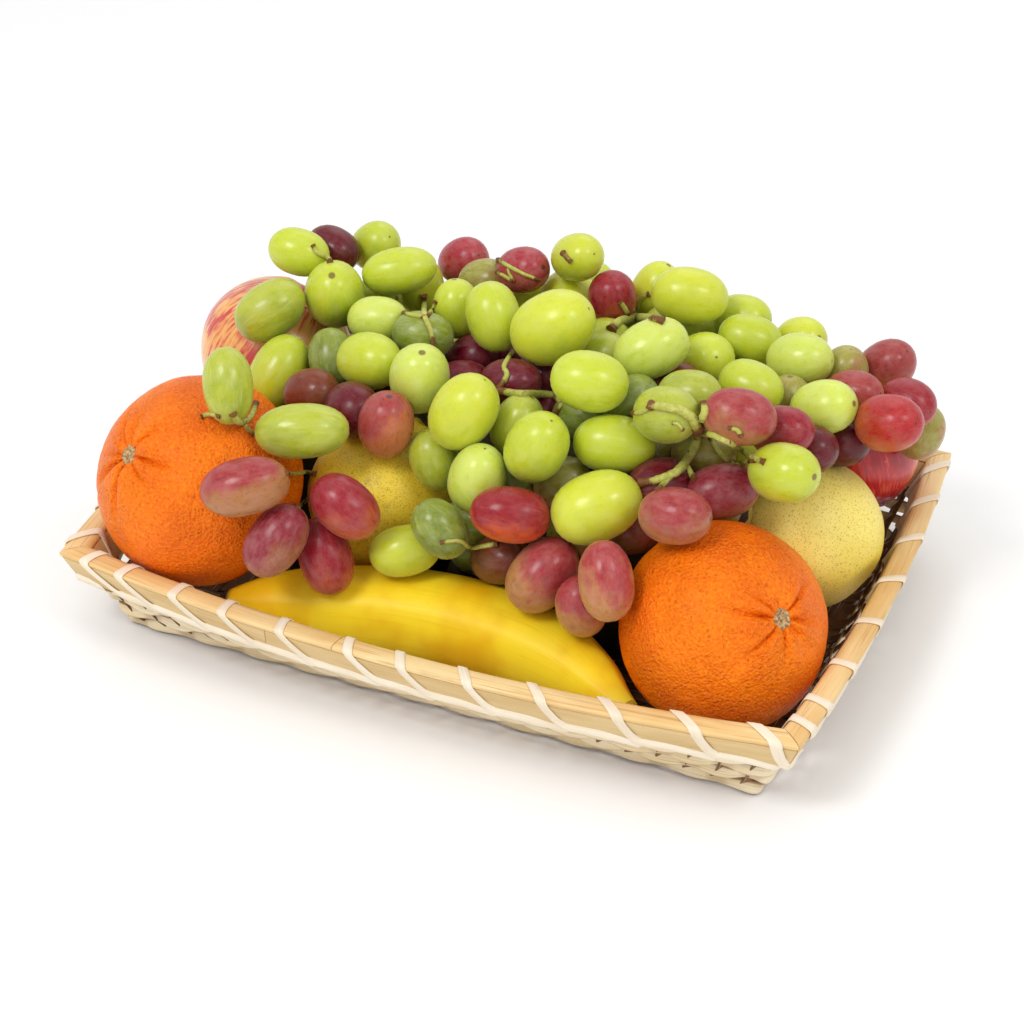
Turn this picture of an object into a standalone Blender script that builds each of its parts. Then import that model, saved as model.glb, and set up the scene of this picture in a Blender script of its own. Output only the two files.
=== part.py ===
# A shallow rectangular tray of woven bamboo, filled with fruit under a heap of grapes.
# Metres. +X runs to the right along the front side, +Y to the back, +Z up.
# The origin is on the ground, under the middle of the tray.

import math
import random

import bmesh
import bpy
from mathutils import Matrix, Vector
from mathutils.bvhtree import BVHTree

MM = 0.001
GAP = 0.3 * MM

# Tray, measured to the outer top corners of its rim
TRAY_LENGTH = 320 * MM
TRAY_DEPTH = 229 * MM
TRAY_HEIGHT = 43.7 * MM
BASE_INSET = 14.4 * MM
WALL = 2.4 * MM
FLOOR = 2.4 * MM

# Rim: a flat band outside and inside of the wall, and a strip over both
BAND = 3.1 * MM
OUTER_BAND_DROP = 12.5 * MM
INNER_BAND_DROP = 11.5 * MM
TOP_STRIP = 2.7 * MM
RIM_HALF_WIDTH = WALL / 2 + GAP + BAND
MITRE_GAP = 0.25 * MM

# The wall's own top edge, which every piece of the rim is placed from
EDGE_HEIGHT = TRAY_HEIGHT - TOP_STRIP - GAP
EDGE_HALF_X = TRAY_LENGTH / 2 - RIM_HALF_WIDTH
EDGE_HALF_Y = TRAY_DEPTH / 2 - RIM_HALF_WIDTH
BASE_HALF_X = EDGE_HALF_X - BASE_INSET
BASE_HALF_Y = EDGE_HALF_Y - BASE_INSET

# The sides in order: front, right, back, left
SIDE_NAMES = ("front", "right", "back", "left")
SIDE_BOW = (10.9 * MM, 6.2 * MM, 7 * MM, 10.9 * MM)
SIDE_SAG = (2.9 * MM, 1.2 * MM, 2.0 * MM, 1.5 * MM)
SIDE_STEPS = (10, 6, 10, 6)
# Below the bands the bow shrinks to the straight foot of the wall
BOWED_RIM = 15 * MM
FULL_BOW_SHARE = 1 - BOWED_RIM / EDGE_HEIGHT
STRAIGHT_SHARE = 2 * FLOOR / EDGE_HEIGHT

# Lashing: one flat strip wound round the rim
STRIP_WIDTH = 4.2 * MM
STRIP = 0.6 * MM
STRIP_CLEAR = 0.6 * MM
# Distance of each wrap from its side's first corner, in millimetres; the far sides repeat the near ones
FRONT_WRAPS = (9, 27, 54, 78, 105, 136, 159, 187, 217, 247, 277, 308)
RIGHT_WRAPS = (8, 24, 52, 85, 119, 153, 186, 216)
SLANT_RUN = 9 * MM
RUN_BEFORE = 4 * MM
WINDOW_MARGIN = 0.4 * MM
WINDOW_TOP = -OUTER_BAND_DROP - STRIP_CLEAR + WINDOW_MARGIN
WINDOW_BOTTOM = -OUTER_BAND_DROP - STRIP_CLEAR - STRIP - WINDOW_MARGIN

# The photo's camera, which the grapes are placed by
FOCAL_PIXELS = 2100
MIDDLE_PIXEL = 512
CAMERA_AZIMUTH = math.radians(23.8)
CAMERA_ELEVATION = math.radians(32.3)
CAMERA_DISTANCE = 982 * MM
CAMERA_TARGET = Vector((-27.8, 52.1, 0)) * MM
TO_CAMERA = Vector((
    math.sin(CAMERA_AZIMUTH) * math.cos(CAMERA_ELEVATION),
    -math.cos(CAMERA_AZIMUTH) * math.cos(CAMERA_ELEVATION),
    math.sin(CAMERA_ELEVATION),
))
CAMERA_RIGHT = Vector((math.cos(CAMERA_AZIMUTH), math.sin(CAMERA_AZIMUTH), 0))
CAMERA_UP = TO_CAMERA.cross(CAMERA_RIGHT)
CAMERA_PLACE = CAMERA_TARGET + TO_CAMERA * CAMERA_DISTANCE

# Fruit: place of the middle and radius
FRUIT = {
    "orange_left": (Vector((-117, -70.5, 64)) * MM, 44.5 * MM),
    "orange_right": (Vector((111.3, -57.7, 45.5)) * MM, 42 * MM),
    "pear_left": (Vector((-50, -31, 50)) * MM, 34 * MM),
    "pear_right": (Vector((123, 16.5, 48)) * MM, 32 * MM),
    "apple_left": (Vector((-137, 32, 71)) * MM, 35.5 * MM),
    "apple_right": (Vector((122.5, 79.5, 56.5)) * MM, 30.5 * MM),
}
# The way that the calyx, neck or stem of each fruit points
ORANGE_LEFT_AXIS = CAMERA_RIGHT * -0.62 + CAMERA_UP * 0.25 + TO_CAMERA * 0.74
ORANGE_RIGHT_AXIS = CAMERA_RIGHT * 0.51 + CAMERA_UP * 0.13 + TO_CAMERA * 0.85
PEAR_LEFT_AXIS = Vector((0.35, 0.75, 0.35))
PEAR_RIGHT_AXIS = Vector((-0.80, 0.25, 0.30))
APPLE_LEFT_AXIS = Vector((0.45, 0.35, 0.80))
APPLE_RIGHT_AXIS = Vector((-0.35, 0.15, 0.92))
FRUIT_SIDES = 14
ROUGH_SIDES = 8
ROUGH_GROWTH = 0.11

# Banana: middle line from tip to stem end, and its radius at each point
BANANA_LINE = ((-93, -95), (-77, -90), (-54, -81), (-20, -72), (15, -70), (45, -75), (66, -84), (80, -93), (87, -97))
BANANA_RADIUS = (5, 12, 16.5, 18.8, 19.2, 17, 12.5, 7.5, 5)
BANANA_HEIGHT = 24 * MM
BANANA_SIDES = 10
BANANA_RINGS = 16


def new_material(name, colour, roughness):
    material = bpy.data.materials.new(name)
    material.use_nodes = True
    shader = material.node_tree.nodes["Principled BSDF"]
    shader.inputs["Base Color"].default_value = (*colour, 1)
    shader.inputs["Roughness"].default_value = roughness
    return material


def new_object(name, mesh, material, smooth=True):
    """Put a mesh or bmesh in the scene, with its faces turned outwards."""
    if isinstance(mesh, bmesh.types.BMesh):
        bmesh.ops.recalc_face_normals(mesh, faces=mesh.faces)
        if mesh.calc_volume(signed=True) < 0:
            bmesh.ops.reverse_faces(mesh, faces=mesh.faces)
        data = bpy.data.meshes.new(name)
        mesh.to_mesh(data)
        mesh.free()
    else:
        data = mesh
    if material:
        data.materials.append(material)
    if smooth:
        data.shade_smooth()
        data.set_sharp_from_angle(angle=math.radians(40))
    thing = bpy.data.objects.new(name, data)
    bpy.context.scene.collection.objects.link(thing)
    return thing


def tray_point(side, along, out, up):
    """A point of the tray: along runs from -1 to 1 down a side, out and up are from the wall's top edge."""
    share = 1 + up / EDGE_HEIGHT
    half_x = BASE_HALF_X + (EDGE_HALF_X - BASE_HALF_X) * share + out
    half_y = BASE_HALF_Y + (EDGE_HALF_Y - BASE_HALF_Y) * share + out
    middle = 1 - along * along
    bent = min(max((share - STRAIGHT_SHARE) / (FULL_BOW_SHARE - STRAIGHT_SHARE), 0), 1) * middle
    height = share * EDGE_HEIGHT - SIDE_SAG[side] * bent
    bow = SIDE_BOW[side] * bent
    if side % 2 == 0:
        x, y = along * half_x, -half_y - bow
    else:
        x, y = half_x + bow, along * half_y
    if side >= 2:
        x, y = -x, -y
    return Vector((x, y, height))


def side_half(side):
    return EDGE_HALF_X if side % 2 == 0 else EDGE_HALF_Y


def ring_round_tray(out, up):
    """Points of one level line round the whole tray, a corner shared by its two sides."""
    points = []
    for side, steps in enumerate(SIDE_STEPS):
        points += [tray_point(side, 2 * k / steps - 1, out, up) for k in range(steps)]
    return points


def skin_rings(shape, rings, caps=True):
    """Bridge closed rings of equal counts and cap the first and the last."""
    loops = [[shape.verts.new(point) for point in ring] for ring in rings]
    count = len(loops[0])
    for lower, upper in zip(loops, loops[1:]):
        for k in range(count):
            following = (k + 1) % count
            shape.faces.new((lower[k], lower[following], upper[following], upper[k]))
    if caps:
        shape.faces.new(loops[0])
        shape.faces.new(loops[-1])
    return loops


def floor_share_up():
    """How far below the wall's top edge the floor's upper face lies."""
    return FLOOR - EDGE_HEIGHT


def tray_shell():
    """Floor and leaning walls as one open box."""
    half = WALL / 2
    over_windows = WINDOW_TOP + GAP
    shape = bmesh.new()
    levels = (-EDGE_HEIGHT, -BOWED_RIM, over_windows, 0)
    rings = [ring_round_tray(half, up) for up in levels]
    rings += [ring_round_tray(-half, up) for up in (0, over_windows, -BOWED_RIM, floor_share_up())]
    skin_rings(shape, rings)
    return shape


def band_piece(side, inner, outer, bottom, top):
    """One side's length of a flat band, mitred at both ends."""
    steps = SIDE_STEPS[side]
    reach = 1 - MITRE_GAP / side_half(side)
    shape = bmesh.new()
    rings = []
    for k in range(steps + 1):
        along = (2 * k / steps - 1) * reach
        corners = ((inner, bottom), (outer, bottom), (outer, top), (inner, top))
        rings.append([tray_point(side, along, out, up) for out, up in corners])
    skin_rings(shape, rings)
    return shape


def wraps_of(side):
    """Where the wraps of a side lie, in metres from its first corner."""
    places, length = ((FRONT_WRAPS, TRAY_LENGTH), (RIGHT_WRAPS, TRAY_DEPTH))[side % 2]
    return [place * MM * 2 * side_half(side) / length for place in places]


def section_point(side, travel, out, up):
    """Like tray_point, with the travel along the side in metres from its first corner."""
    return tray_point(side, travel / side_half(side) - 1, out, up)


def lashing_edges():
    """The strip's two edges as places on the rim: side, travel, out, up, and the face it lies on."""
    half = STRIP_WIDTH / 2
    face = RIM_HALF_WIDTH + STRIP_CLEAR
    top = GAP + TOP_STRIP + STRIP_CLEAR
    bottom = -OUTER_BAND_DROP - STRIP_CLEAR
    stations = []
    for side in range(4):
        wraps = wraps_of(side)
        for number, start in enumerate(wraps):
            last = number == len(wraps) - 1
            stations.append((side, start, "cross", -face, bottom))
            stations.append((side, start, "cross", -face, top))
            stations.append((side, start, "cross", face, top))
            if last:
                following_side = (side + 1) % 4
                end = wraps_of(following_side)[0]
                stations.append((following_side, 0.0, "run", face, bottom + half))
                stations.append((following_side, max(end - RUN_BEFORE, 1 * MM), "run", face, bottom + half))
                stations.append((following_side, end, "cross", face, bottom))
            else:
                end = wraps[number + 1]
                stations.append((side, start + SLANT_RUN, "run", face, bottom + half))
                stations.append((side, end - RUN_BEFORE, "run", face, bottom + half))
                stations.append((side, end, "cross", face, bottom))
    return stations


def lashing():
    """The strip that binds the rim: over the top, slanting down outside, and through the wall below the bands."""
    half = STRIP_WIDTH / 2
    shape = bmesh.new()
    rings = []
    for side, travel, kind, out, up in lashing_edges():
        outwards = 1 if out > 0 else -1
        upwards = 1 if up > 0 else -1
        ring = []
        for layer, edge in ((0, -1), (0, 1), (1, 1), (1, -1)):
            depth = layer * STRIP
            if kind == "cross":
                ring.append(section_point(side, travel + edge * half, out + outwards * depth, up + upwards * depth))
            else:
                ring.append(section_point(side, travel, out + depth, up + edge * half))
        rings.append(ring)
    skin_rings(shape, rings)
    return shape


def wall_windows():
    """A cutter for the slots where the strip passes through the wall."""
    half = STRIP_WIDTH / 2 + WINDOW_MARGIN
    shape = bmesh.new()
    for side in range(4):
        for travel in wraps_of(side):
            rings = []
            for out in (-WALL, WALL):
                corners = ((-half, WINDOW_BOTTOM), (half, WINDOW_BOTTOM), (half, WINDOW_TOP), (-half, WINDOW_TOP))
                rings.append([section_point(side, travel + edge, out, up) for edge, up in corners])
            skin_rings(shape, rings)
    return shape


def orange_profile():
    """Half outline of an orange, from its foot up to the calyx in its dimple."""
    outline = [(0, -0.93)]
    for degree in range(-78, 72, 12):
        turn = math.radians(degree)
        outline.append((math.cos(turn), 0.93 * math.sin(turn)))
    return outline + [(0.24, 0.90), (0.12, 0.86), (0.08, 0.885), (0, 0.885)]


def pear_profile():
    """Half outline of a pear, its neck kept short under the grapes."""
    outline = [(0, -0.90), (0.16, -0.91)]
    for degree in range(-60, 32, 13):
        turn = math.radians(degree)
        outline.append((math.cos(turn), 0.97 * math.sin(turn)))
    return outline + [(0.70, 0.76), (0.50, 1.00), (0.36, 1.14), (0.20, 1.21), (0, 1.20)]


def apple_profile():
    """Half outline of an apple, with a hollow at its stem and at its eye."""
    outline = [(0, -0.78), (0.16, -0.84), (0.36, -0.90)]
    for degree in range(-52, 53, 13):
        turn = math.radians(degree)
        outline.append((math.cos(turn) * 0.99 + 0.01, 0.94 * math.sin(turn)))
    return outline + [(0.42, 0.86), (0.22, 0.78), (0, 0.62)]


def turned(outline, radius, sides, grown=0.0):
    """Turn a half outline round +Z, optionally grown outwards by a clearance."""
    shape = bmesh.new()
    foot = shape.verts.new((0, 0, outline[0][1] * radius - grown))
    head = shape.verts.new((0, 0, outline[-1][1] * radius + grown))
    loops = []
    for r, z in outline[1:-1]:
        spread = 1 + grown / (radius * math.hypot(r, z))
        ring = []
        for k in range(sides):
            turn = 2 * math.pi * k / sides
            place = Vector((r * math.cos(turn), r * math.sin(turn), z)) * radius * spread
            ring.append(shape.verts.new(place))
        loops.append(ring)
    for lower, upper in zip(loops, loops[1:]):
        for k in range(sides):
            following = (k + 1) % sides
            shape.faces.new((lower[k], lower[following], upper[following], upper[k]))
    for k in range(sides):
        following = (k + 1) % sides
        shape.faces.new((foot, loops[0][following], loops[0][k]))
        shape.faces.new((head, loops[-1][k], loops[-1][following]))
    return shape


def stand_at(thing, place, axis):
    """Turn an object's +Z to an axis and put it in place."""
    thing.matrix_world = Matrix.Translation(place) @ axis.to_track_quat("Z", "Y").to_matrix().to_4x4()
    return thing


def smooth_line(values, position):
    """Catmull-Rom value at a fractional position in a list of numbers or vectors."""
    index = min(int(position), len(values) - 2)
    share = position - index
    before = values[max(index - 1, 0)]
    start, end = values[index], values[index + 1]
    after = values[min(index + 2, len(values) - 1)]
    slope_start = (end - before) * 0.5
    slope_end = (after - start) * 0.5
    square, cube = share * share, share ** 3
    return (
        start * (2 * cube - 3 * square + 1) + slope_start * (cube - 2 * square + share)
        + end * (3 * square - 2 * cube) + slope_end * (cube - square)
    )


def banana_rings(grown=0.0):
    """Rings of the banana: a curved body with five soft ridges, narrowed to a tip and to the stem's cut end."""
    line = [Vector((x, y, 0)) * MM for x, y in BANANA_LINE]
    rings = []
    for k in range(BANANA_RINGS + 1):
        position = k / BANANA_RINGS * (len(line) - 1)
        middle = smooth_line(line, position)
        ahead = smooth_line(line, min(position + 0.05, len(line) - 1))
        behind = smooth_line(line, max(position - 0.05, 0))
        heading = (ahead - behind).normalized()
        across = Vector((0, 0, 1)).cross(heading)
        radius = smooth_line(BANANA_RADIUS, position) * MM + grown
        ring = []
        for j in range(BANANA_SIDES):
            turn = 2 * math.pi * j / BANANA_SIDES
            ridge = radius * (1 + 0.02 * math.cos(5 * turn + 0.6))
            place = across * math.cos(turn) * ridge + Vector((0, 0, 1)) * math.sin(turn) * ridge
            ring.append(middle + place + Vector((0, 0, BANANA_HEIGHT)))
        rings.append(ring)
    overhang = grown
    first_way = (rings[0][0] - rings[1][0]).normalized() * overhang
    last_way = (rings[-1][0] - rings[-2][0]).normalized() * overhang
    rings[0] = [point + first_way for point in rings[0]]
    rings[-1] = [point + last_way for point in rings[-1]]
    return rings


def banana(grown=0.0):
    shape = bmesh.new()
    skin_rings(shape, banana_rings(grown))
    return shape


# Berries in sight in the photo: pixel of the middle, long and short width in pixels, tilt in degrees,
# and how many millimetres it lies below the heap's skin
GREEN_BERRIES = (
    (299, 252, 62, 47, -17, 0), (375, 246, 53, 48, 20, 0), (334, 295, 64, 61, 90, 0),
    (272, 311, 76, 56, 35, 0), (277, 373, 85, 57, 62, 0), (228, 386, 78, 48, 95, 0),
    (302, 431, 95, 55, 3, 0), (332, 359, 64, 44, 98, 6), (378, 320, 62, 48, -5, 6),
    (370, 361, 67, 58, -12, 0), (399, 271, 75, 46, 10, 0), (419, 285, 59, 50, 100, 0),
    (419, 378, 68, 61, 80, 0), (464, 415, 80, 64, 55, 0), (457, 309, 58, 46, 95, 0),
    (494, 317, 71, 53, 103, 0), (552, 328, 86, 71, 25, 0), (571, 309, 80, 62, 105, 8),
    (533, 297, 52, 45, 30, 12), (578, 258, 52, 48, 0, 0), (586, 285, 40, 36, 0, 2),
    (655, 289, 55, 45, 60, 10), (690, 296, 77, 57, -8, 0), (652, 353, 78, 58, 25, 0),
    (705, 360, 58, 57, 0, 0), (749, 340, 66, 50, -15, 0), (742, 318, 50, 40, -10, 10),
    (802, 363, 64, 52, -5, 0), (801, 334, 44, 41, 0, 10), (823, 413, 64, 54, 5, 0),
    (751, 387, 66, 52, -25, 0), (666, 415, 64, 57, -10, 0), (615, 443, 85, 60, -5, 0),
    (596, 507, 94, 70, 22, 0), (784, 472, 68, 59, -10, 0), (748, 448, 40, 34, 0, 10),
    (631, 401, 50, 42, 45, 6), (590, 382, 78, 60, -12, 0), (582, 416, 40, 34, 0, 8),
    (517, 424, 58, 46, 60, 0), (536, 447, 72, 62, 60, 0), (477, 476, 70, 58, 75, 0),
    (434, 459, 58, 46, 110, 0), (440, 529, 62, 48, 130, 0), (405, 551, 72, 52, 10, 0),
    (481, 551, 40, 32, 0, 8), (473, 522, 44, 36, 0, 8), (423, 335, 56, 42, -10, 10),
    (602, 341, 50, 42, 0, 8), (602, 355, 40, 34, 0, 12), (689, 395, 50, 40, 0, 8),
)
RED_BERRIES = (
    (333, 249, 50, 40, -30, 8), (464, 261, 52, 48, 10, 6), (523, 270, 48, 42, 0, 6),
    (612, 298, 54, 49, 100, 0), (881, 368, 60, 53, 40, 0), (907, 403, 48, 42, -30, 8),
    (886, 423, 62, 56, -5, 0), (854, 395, 40, 34, 0, 0), (740, 417, 73, 56, -10, 0),
    (783, 433, 48, 40, 0, 8), (839, 446, 46, 40, 0, 8), (809, 444, 40, 36, 0, 10),
    (675, 516, 73, 58, -5, 0), (722, 494, 76, 56, 10, 8), (704, 455, 54, 42, 0, 8),
    (387, 425, 66, 56, 80, 0), (511, 515, 80, 56, -8, 0), (542, 574, 84, 62, 50, 0),
    (606, 581, 82, 56, 97, 0), (501, 561, 44, 36, 0, 6), (632, 530, 50, 44, 0, 8),
    (245, 487, 90, 58, 12, 0), (276, 540, 80, 56, 55, 0), (325, 556, 80, 54, 105, 0),
    (345, 507, 76, 56, -40, 0), (312, 393, 58, 50, 0, 8), (472, 358, 52, 46, 20, 28),
    (462, 384, 44, 36, 0, 28), (507, 361, 50, 44, 0, 28), (540, 376, 50, 44, 0, 28),
    (511, 382, 50, 40, 0, 30),
)
MIXED_BERRIES = (
    (485, 281, 40, 34, 0, 6), (844, 367, 45, 38, 80, 0), (919, 431, 54, 47, 75, 0),
    (790, 403, 42, 34, 90, 6), (581, 606, 50, 42, 100, 8), (562, 483, 52, 44, 30, 8),
    (673, 382, 44, 38, 0, 8),
)

BERRY_SHORT = (21.5 * MM, 27.5 * MM)
BERRY_LONGEST = 38 * MM
BERRY_STRETCH = 1.3
HIDDEN_SPACING = 24 * MM
HIDDEN_LOWEST = 48 * MM
CLEAR = 0.3 * MM
FRUIT_CLEAR = 1 * MM
BERRY_SIDES = 6
BERRY_RINGS = 4
BURIED = 0.78

# The heap's skin through the berries' middles: a dome, wide along X, steeper at the front than at the back
DOME_MIDDLE_Y = 12 * MM
DOME_HALF_X = 158 * MM
DOME_FRONT = 78 * MM
DOME_BACK = 98 * MM
DOME_FOOT = 30 * MM
DOME_RISE = 85 * MM
CORE_DEPTH = 7 * MM
CORE_SWELL = 12 * MM
CORE_BLUR = 0.13
CORE_SIDES = 24
CORE_LIFTS = (18, 36, 54, 74)
STALK_RADIUS = 1.4 * MM
TIE_DEPTH = 0.5 * MM


def dome_measure(place):
    """Below 1 inside the dome, above 1 outside."""
    x, y, z = place
    half_y = DOME_FRONT if y < DOME_MIDDLE_Y else DOME_BACK
    rise = max(z - DOME_FOOT, 0) / DOME_RISE
    return (x / DOME_HALF_X) ** 4 + ((y - DOME_MIDDLE_Y) / half_y) ** 2 + rise ** 2


def dome_point(turn, lift, depth):
    """A point of the dome's skin: turn round +Z and lift above the foot, both in radians, at a depth."""
    low, high = 0.0, 1.0
    for _ in range(24):
        middle = (low + high) / 2
        flat = middle * math.cos(lift) * 0.3
        place = (flat * math.cos(turn), DOME_MIDDLE_Y + flat * math.sin(turn), DOME_FOOT + middle * math.sin(lift) * 0.3)
        if dome_measure(place) < 1:
            low = middle
        else:
            high = middle
    reach = Vector(place) - Vector((0, DOME_MIDDLE_Y, DOME_FOOT))
    return Vector((0, DOME_MIDDLE_Y, DOME_FOOT)) + reach * (1 - depth / reach.length)


def solid_balls():
    """Balls that stand for the fruit and the banana while the berries find their places."""
    balls = list(FRUIT.values())
    for k, (x, y) in enumerate(BANANA_LINE):
        balls.append((Vector((x * MM, y * MM, BANANA_HEIGHT)), BANANA_RADIUS[k] * MM))
    return balls


def first_touch(way, radius, depth):
    """Distance along a sight line to the dome, or to a fruit in front of it."""
    balls = solid_balls()
    closest = (math.inf, 0)
    for step in range(700, 1100):
        travel = step * MM
        place = CAMERA_PLACE + way * travel
        if any((place - middle).length < size + radius for middle, size in balls):
            return travel
        measure = dome_measure(place - way * depth)
        if measure <= 1:
            return travel
        closest = min(closest, (measure, travel))
    return closest[1]


def berry_in_sight(u, v, long_pixels, short_pixels, tilt, depth):
    """Place a berry on its sight line, with the tilt towards the camera that its outline implies."""
    way = CAMERA_RIGHT * (u - MIDDLE_PIXEL) + CAMERA_UP * (MIDDLE_PIXEL - v) - TO_CAMERA * FOCAL_PIXELS
    way.normalize()
    travel = first_touch(way, BERRY_SHORT[0] / 2, depth * MM)
    scale = travel * -way.dot(TO_CAMERA) / FOCAL_PIXELS
    short = min(max(short_pixels * scale, BERRY_SHORT[0]), BERRY_SHORT[1])
    seen_stretch = long_pixels / short_pixels
    longest = min(max(long_pixels * scale, short * BERRY_STRETCH), BERRY_LONGEST)
    stretch = longest / short
    lean = (min(seen_stretch, stretch) ** 2 - 1) / (stretch ** 2 - 1)
    turn = math.radians(tilt)
    in_picture = CAMERA_RIGHT * math.cos(turn) + CAMERA_UP * math.sin(turn)
    axis = in_picture * math.sqrt(lean) + TO_CAMERA * math.sqrt(1 - lean)
    return {"place": CAMERA_PLACE + way * travel, "axis": axis, "long": longest, "short": short, "way": way}


def hidden_berries(placed, chance):
    """Berries out of the camera's sight, spread over the rest of the dome."""
    balls = solid_balls()
    found = []
    golden_turn = math.pi * (3 - math.sqrt(5))
    for k in range(1400):
        lift = math.asin((k + 0.5) / 1400)
        place = dome_point(k * golden_turn, lift, 0)
        away = (place - CAMERA_PLACE).normalized()
        near = [berry["place"] for berry in placed + found]
        if place.z < HIDDEN_LOWEST or any((place - other).length < HIDDEN_SPACING for other in near):
            continue
        if any((place - middle).length < size + 6 * MM for middle, size in balls):
            continue
        behind = [(middle - place, size) for middle, size in balls]
        if any(gap.dot(away) > 0 and gap.cross(away).length < size for gap, size in behind):
            continue
        axis = Vector([chance.uniform(-1, 1) for _ in range(3)]).normalized()
        short = chance.uniform(*BERRY_SHORT)
        long_side = short * chance.uniform(1.2, 1.4)
        found.append({"place": place, "axis": axis, "long": long_side, "short": short, "way": None})
    return found


def ball_middles(berry):
    """Three balls of the berry's thickness stand for it."""
    reach = (berry["long"] - berry["short"]) / 2
    return [berry["place"] + berry["axis"] * share * reach for share in (-1, 0, 1)]


def held_in_tray(point, radius):
    """Push a ball back inside the walls and above the floor."""
    if point.z < TRAY_HEIGHT + 4 * MM:
        inward = RIM_HALF_WIDTH + STRIP_CLEAR + STRIP + GAP + radius
        lean = BASE_INSET * (1 - min(point.z, EDGE_HEIGHT) / EDGE_HEIGHT)
        bow_x = SIDE_BOW[1] * max(0, 1 - (point.y / EDGE_HALF_Y) ** 2)
        bow_y = SIDE_BOW[2] * max(0, 1 - (point.x / EDGE_HALF_X) ** 2)
        limit_x = EDGE_HALF_X + bow_x - lean - inward
        limit_y = EDGE_HALF_Y + bow_y - lean - inward
        point.x = min(max(point.x, -limit_x), limit_x)
        point.y = min(max(point.y, -limit_y), limit_y)
    point.z = max(point.z, FLOOR + GAP + radius)
    return point


def settle(berries, rounds):
    """Push overlapping berries apart. Those in sight move mostly along their sight lines."""
    balls = solid_balls()
    starts = [berry["place"].copy() for berry in berries]
    for _ in range(rounds):
        middles = [ball_middles(berry) for berry in berries]
        pushes = [Vector() for _ in berries]
        for i, berry in enumerate(berries):
            for j in range(i):
                if (berry["place"] - berries[j]["place"]).length > BERRY_LONGEST * 1.1:
                    continue
                room = (berry["short"] + berries[j]["short"]) / 2 + CLEAR
                for a in middles[i]:
                    for b in middles[j]:
                        apart = a - b
                        if apart.length < room:
                            push = apart.normalized() * (room - apart.length) * 0.25
                            pushes[i] += push
                            pushes[j] -= push
            for middle, size in balls:
                room = size + berry["short"] / 2 + FRUIT_CLEAR
                for a in middles[i]:
                    apart = a - middle
                    if apart.length < room:
                        pushes[i] += apart.normalized() * (room - apart.length) * 0.5
        for berry, push, start in zip(berries, pushes, starts):
            way = berry["way"]
            if way:
                along = way * push.dot(way)
                place = berry["place"] + along + (push - along) * 0.35
                beside = place - CAMERA_PLACE
                place -= (beside - way * beside.dot(way)) * 0.15
                place += way * (start - place).dot(way) * 0.01
            else:
                place = berry["place"] + push + (start - berry["place"]) * 0.02
            berry["place"] = place
            for a in ball_middles(berry):
                berry["place"] = berry["place"] + (held_in_tray(a.copy(), berry["short"] / 2) - a) * 0.5
    return berries


def all_berries():
    """Every berry of the heap, settled, with those in sight first."""
    chance = random.Random(5)
    rows = GREEN_BERRIES + RED_BERRIES + MIXED_BERRIES
    berries = settle([berry_in_sight(*row) for row in rows], 160)
    return settle(berries + hidden_berries(berries, chance), 120)


def core_point(turn, lift, berries):
    """A point of the core: the dome's skin, moved in or out to lie just under the middles of the berries near it."""
    foot = Vector((0, DOME_MIDDLE_Y, DOME_FOOT))
    reach = dome_point(turn, lift, 0) - foot
    way = reach.normalized()
    total = weight_sum = 0.0
    for berry in berries:
        beside = berry["place"] - foot
        nearness = math.exp(-((beside.angle(way) / CORE_BLUR) ** 2))
        total += beside.length * nearness
        weight_sum += nearness
    middles = total / weight_sum if weight_sum > 0.05 else reach.length
    limit = min(max(middles, reach.length - CORE_SWELL), reach.length + CORE_SWELL)
    return foot + way * (limit - CORE_DEPTH)


def core_shape(berries):
    """The dark inside of the heap, from the floor up to just under the berries' middles."""
    turns = [2 * math.pi * k / CORE_SIDES for k in range(CORE_SIDES)]
    foot = [core_point(turn, 0, berries) for turn in turns]
    rings = [[Vector((point.x, point.y, FLOOR + GAP)) for point in foot], foot]
    for degree in CORE_LIFTS:
        rings.append([core_point(turn, math.radians(degree), berries) for turn in turns])
    shape = bmesh.new()
    skin_rings(shape, rings)
    bmesh.ops.triangulate(shape, faces=shape.faces)
    return shape


def berry_shape(berry):
    shape = bmesh.new()
    bmesh.ops.create_uvsphere(shape, u_segments=BERRY_SIDES, v_segments=BERRY_RINGS, radius=1)
    turn = berry["axis"].to_track_quat("Z", "Y").to_matrix().to_4x4()
    size = Matrix.Diagonal((berry["short"] / 2, berry["short"] / 2, berry["long"] / 2, 1))
    bmesh.ops.transform(shape, matrix=Matrix.Translation(berry["place"]) @ turn @ size, verts=shape.verts)
    return shape


def stalk_shape(start, end):
    """A short stalk that ties a berry to the heap."""
    shape = bmesh.new()
    heading = end - start
    bmesh.ops.create_cone(
        shape, cap_ends=True, segments=5, radius1=STALK_RADIUS, radius2=STALK_RADIUS, depth=heading.length
    )
    turn = heading.to_track_quat("Z", "Y").to_matrix().to_4x4()
    bmesh.ops.transform(shape, matrix=Matrix.Translation((start + end) / 2) @ turn, verts=shape.verts)
    return shape


def stalks(berries, core):
    """Stalks for the berries that lie clear of the core, each to its nearest neighbour that is tied already."""
    tied, loose = [], []
    for berry in berries:
        found, normal, _, distance = core.find_nearest(berry["place"])
        inside = (berry["place"] - found).dot(normal) < 0
        touching = inside or distance < berry["short"] / 2 - TIE_DEPTH
        (tied if touching else loose).append(berry)
    shapes = []
    while loose:
        pairs = [((a["place"] - b["place"]).length, i, j) for i, a in enumerate(loose) for j, b in enumerate(tied)]
        _, i, j = min(pairs)
        berry = loose.pop(i)
        shapes.append(stalk_shape(berry["place"], tied[j]["place"]))
        tied.append(berry)
    return shapes


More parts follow.
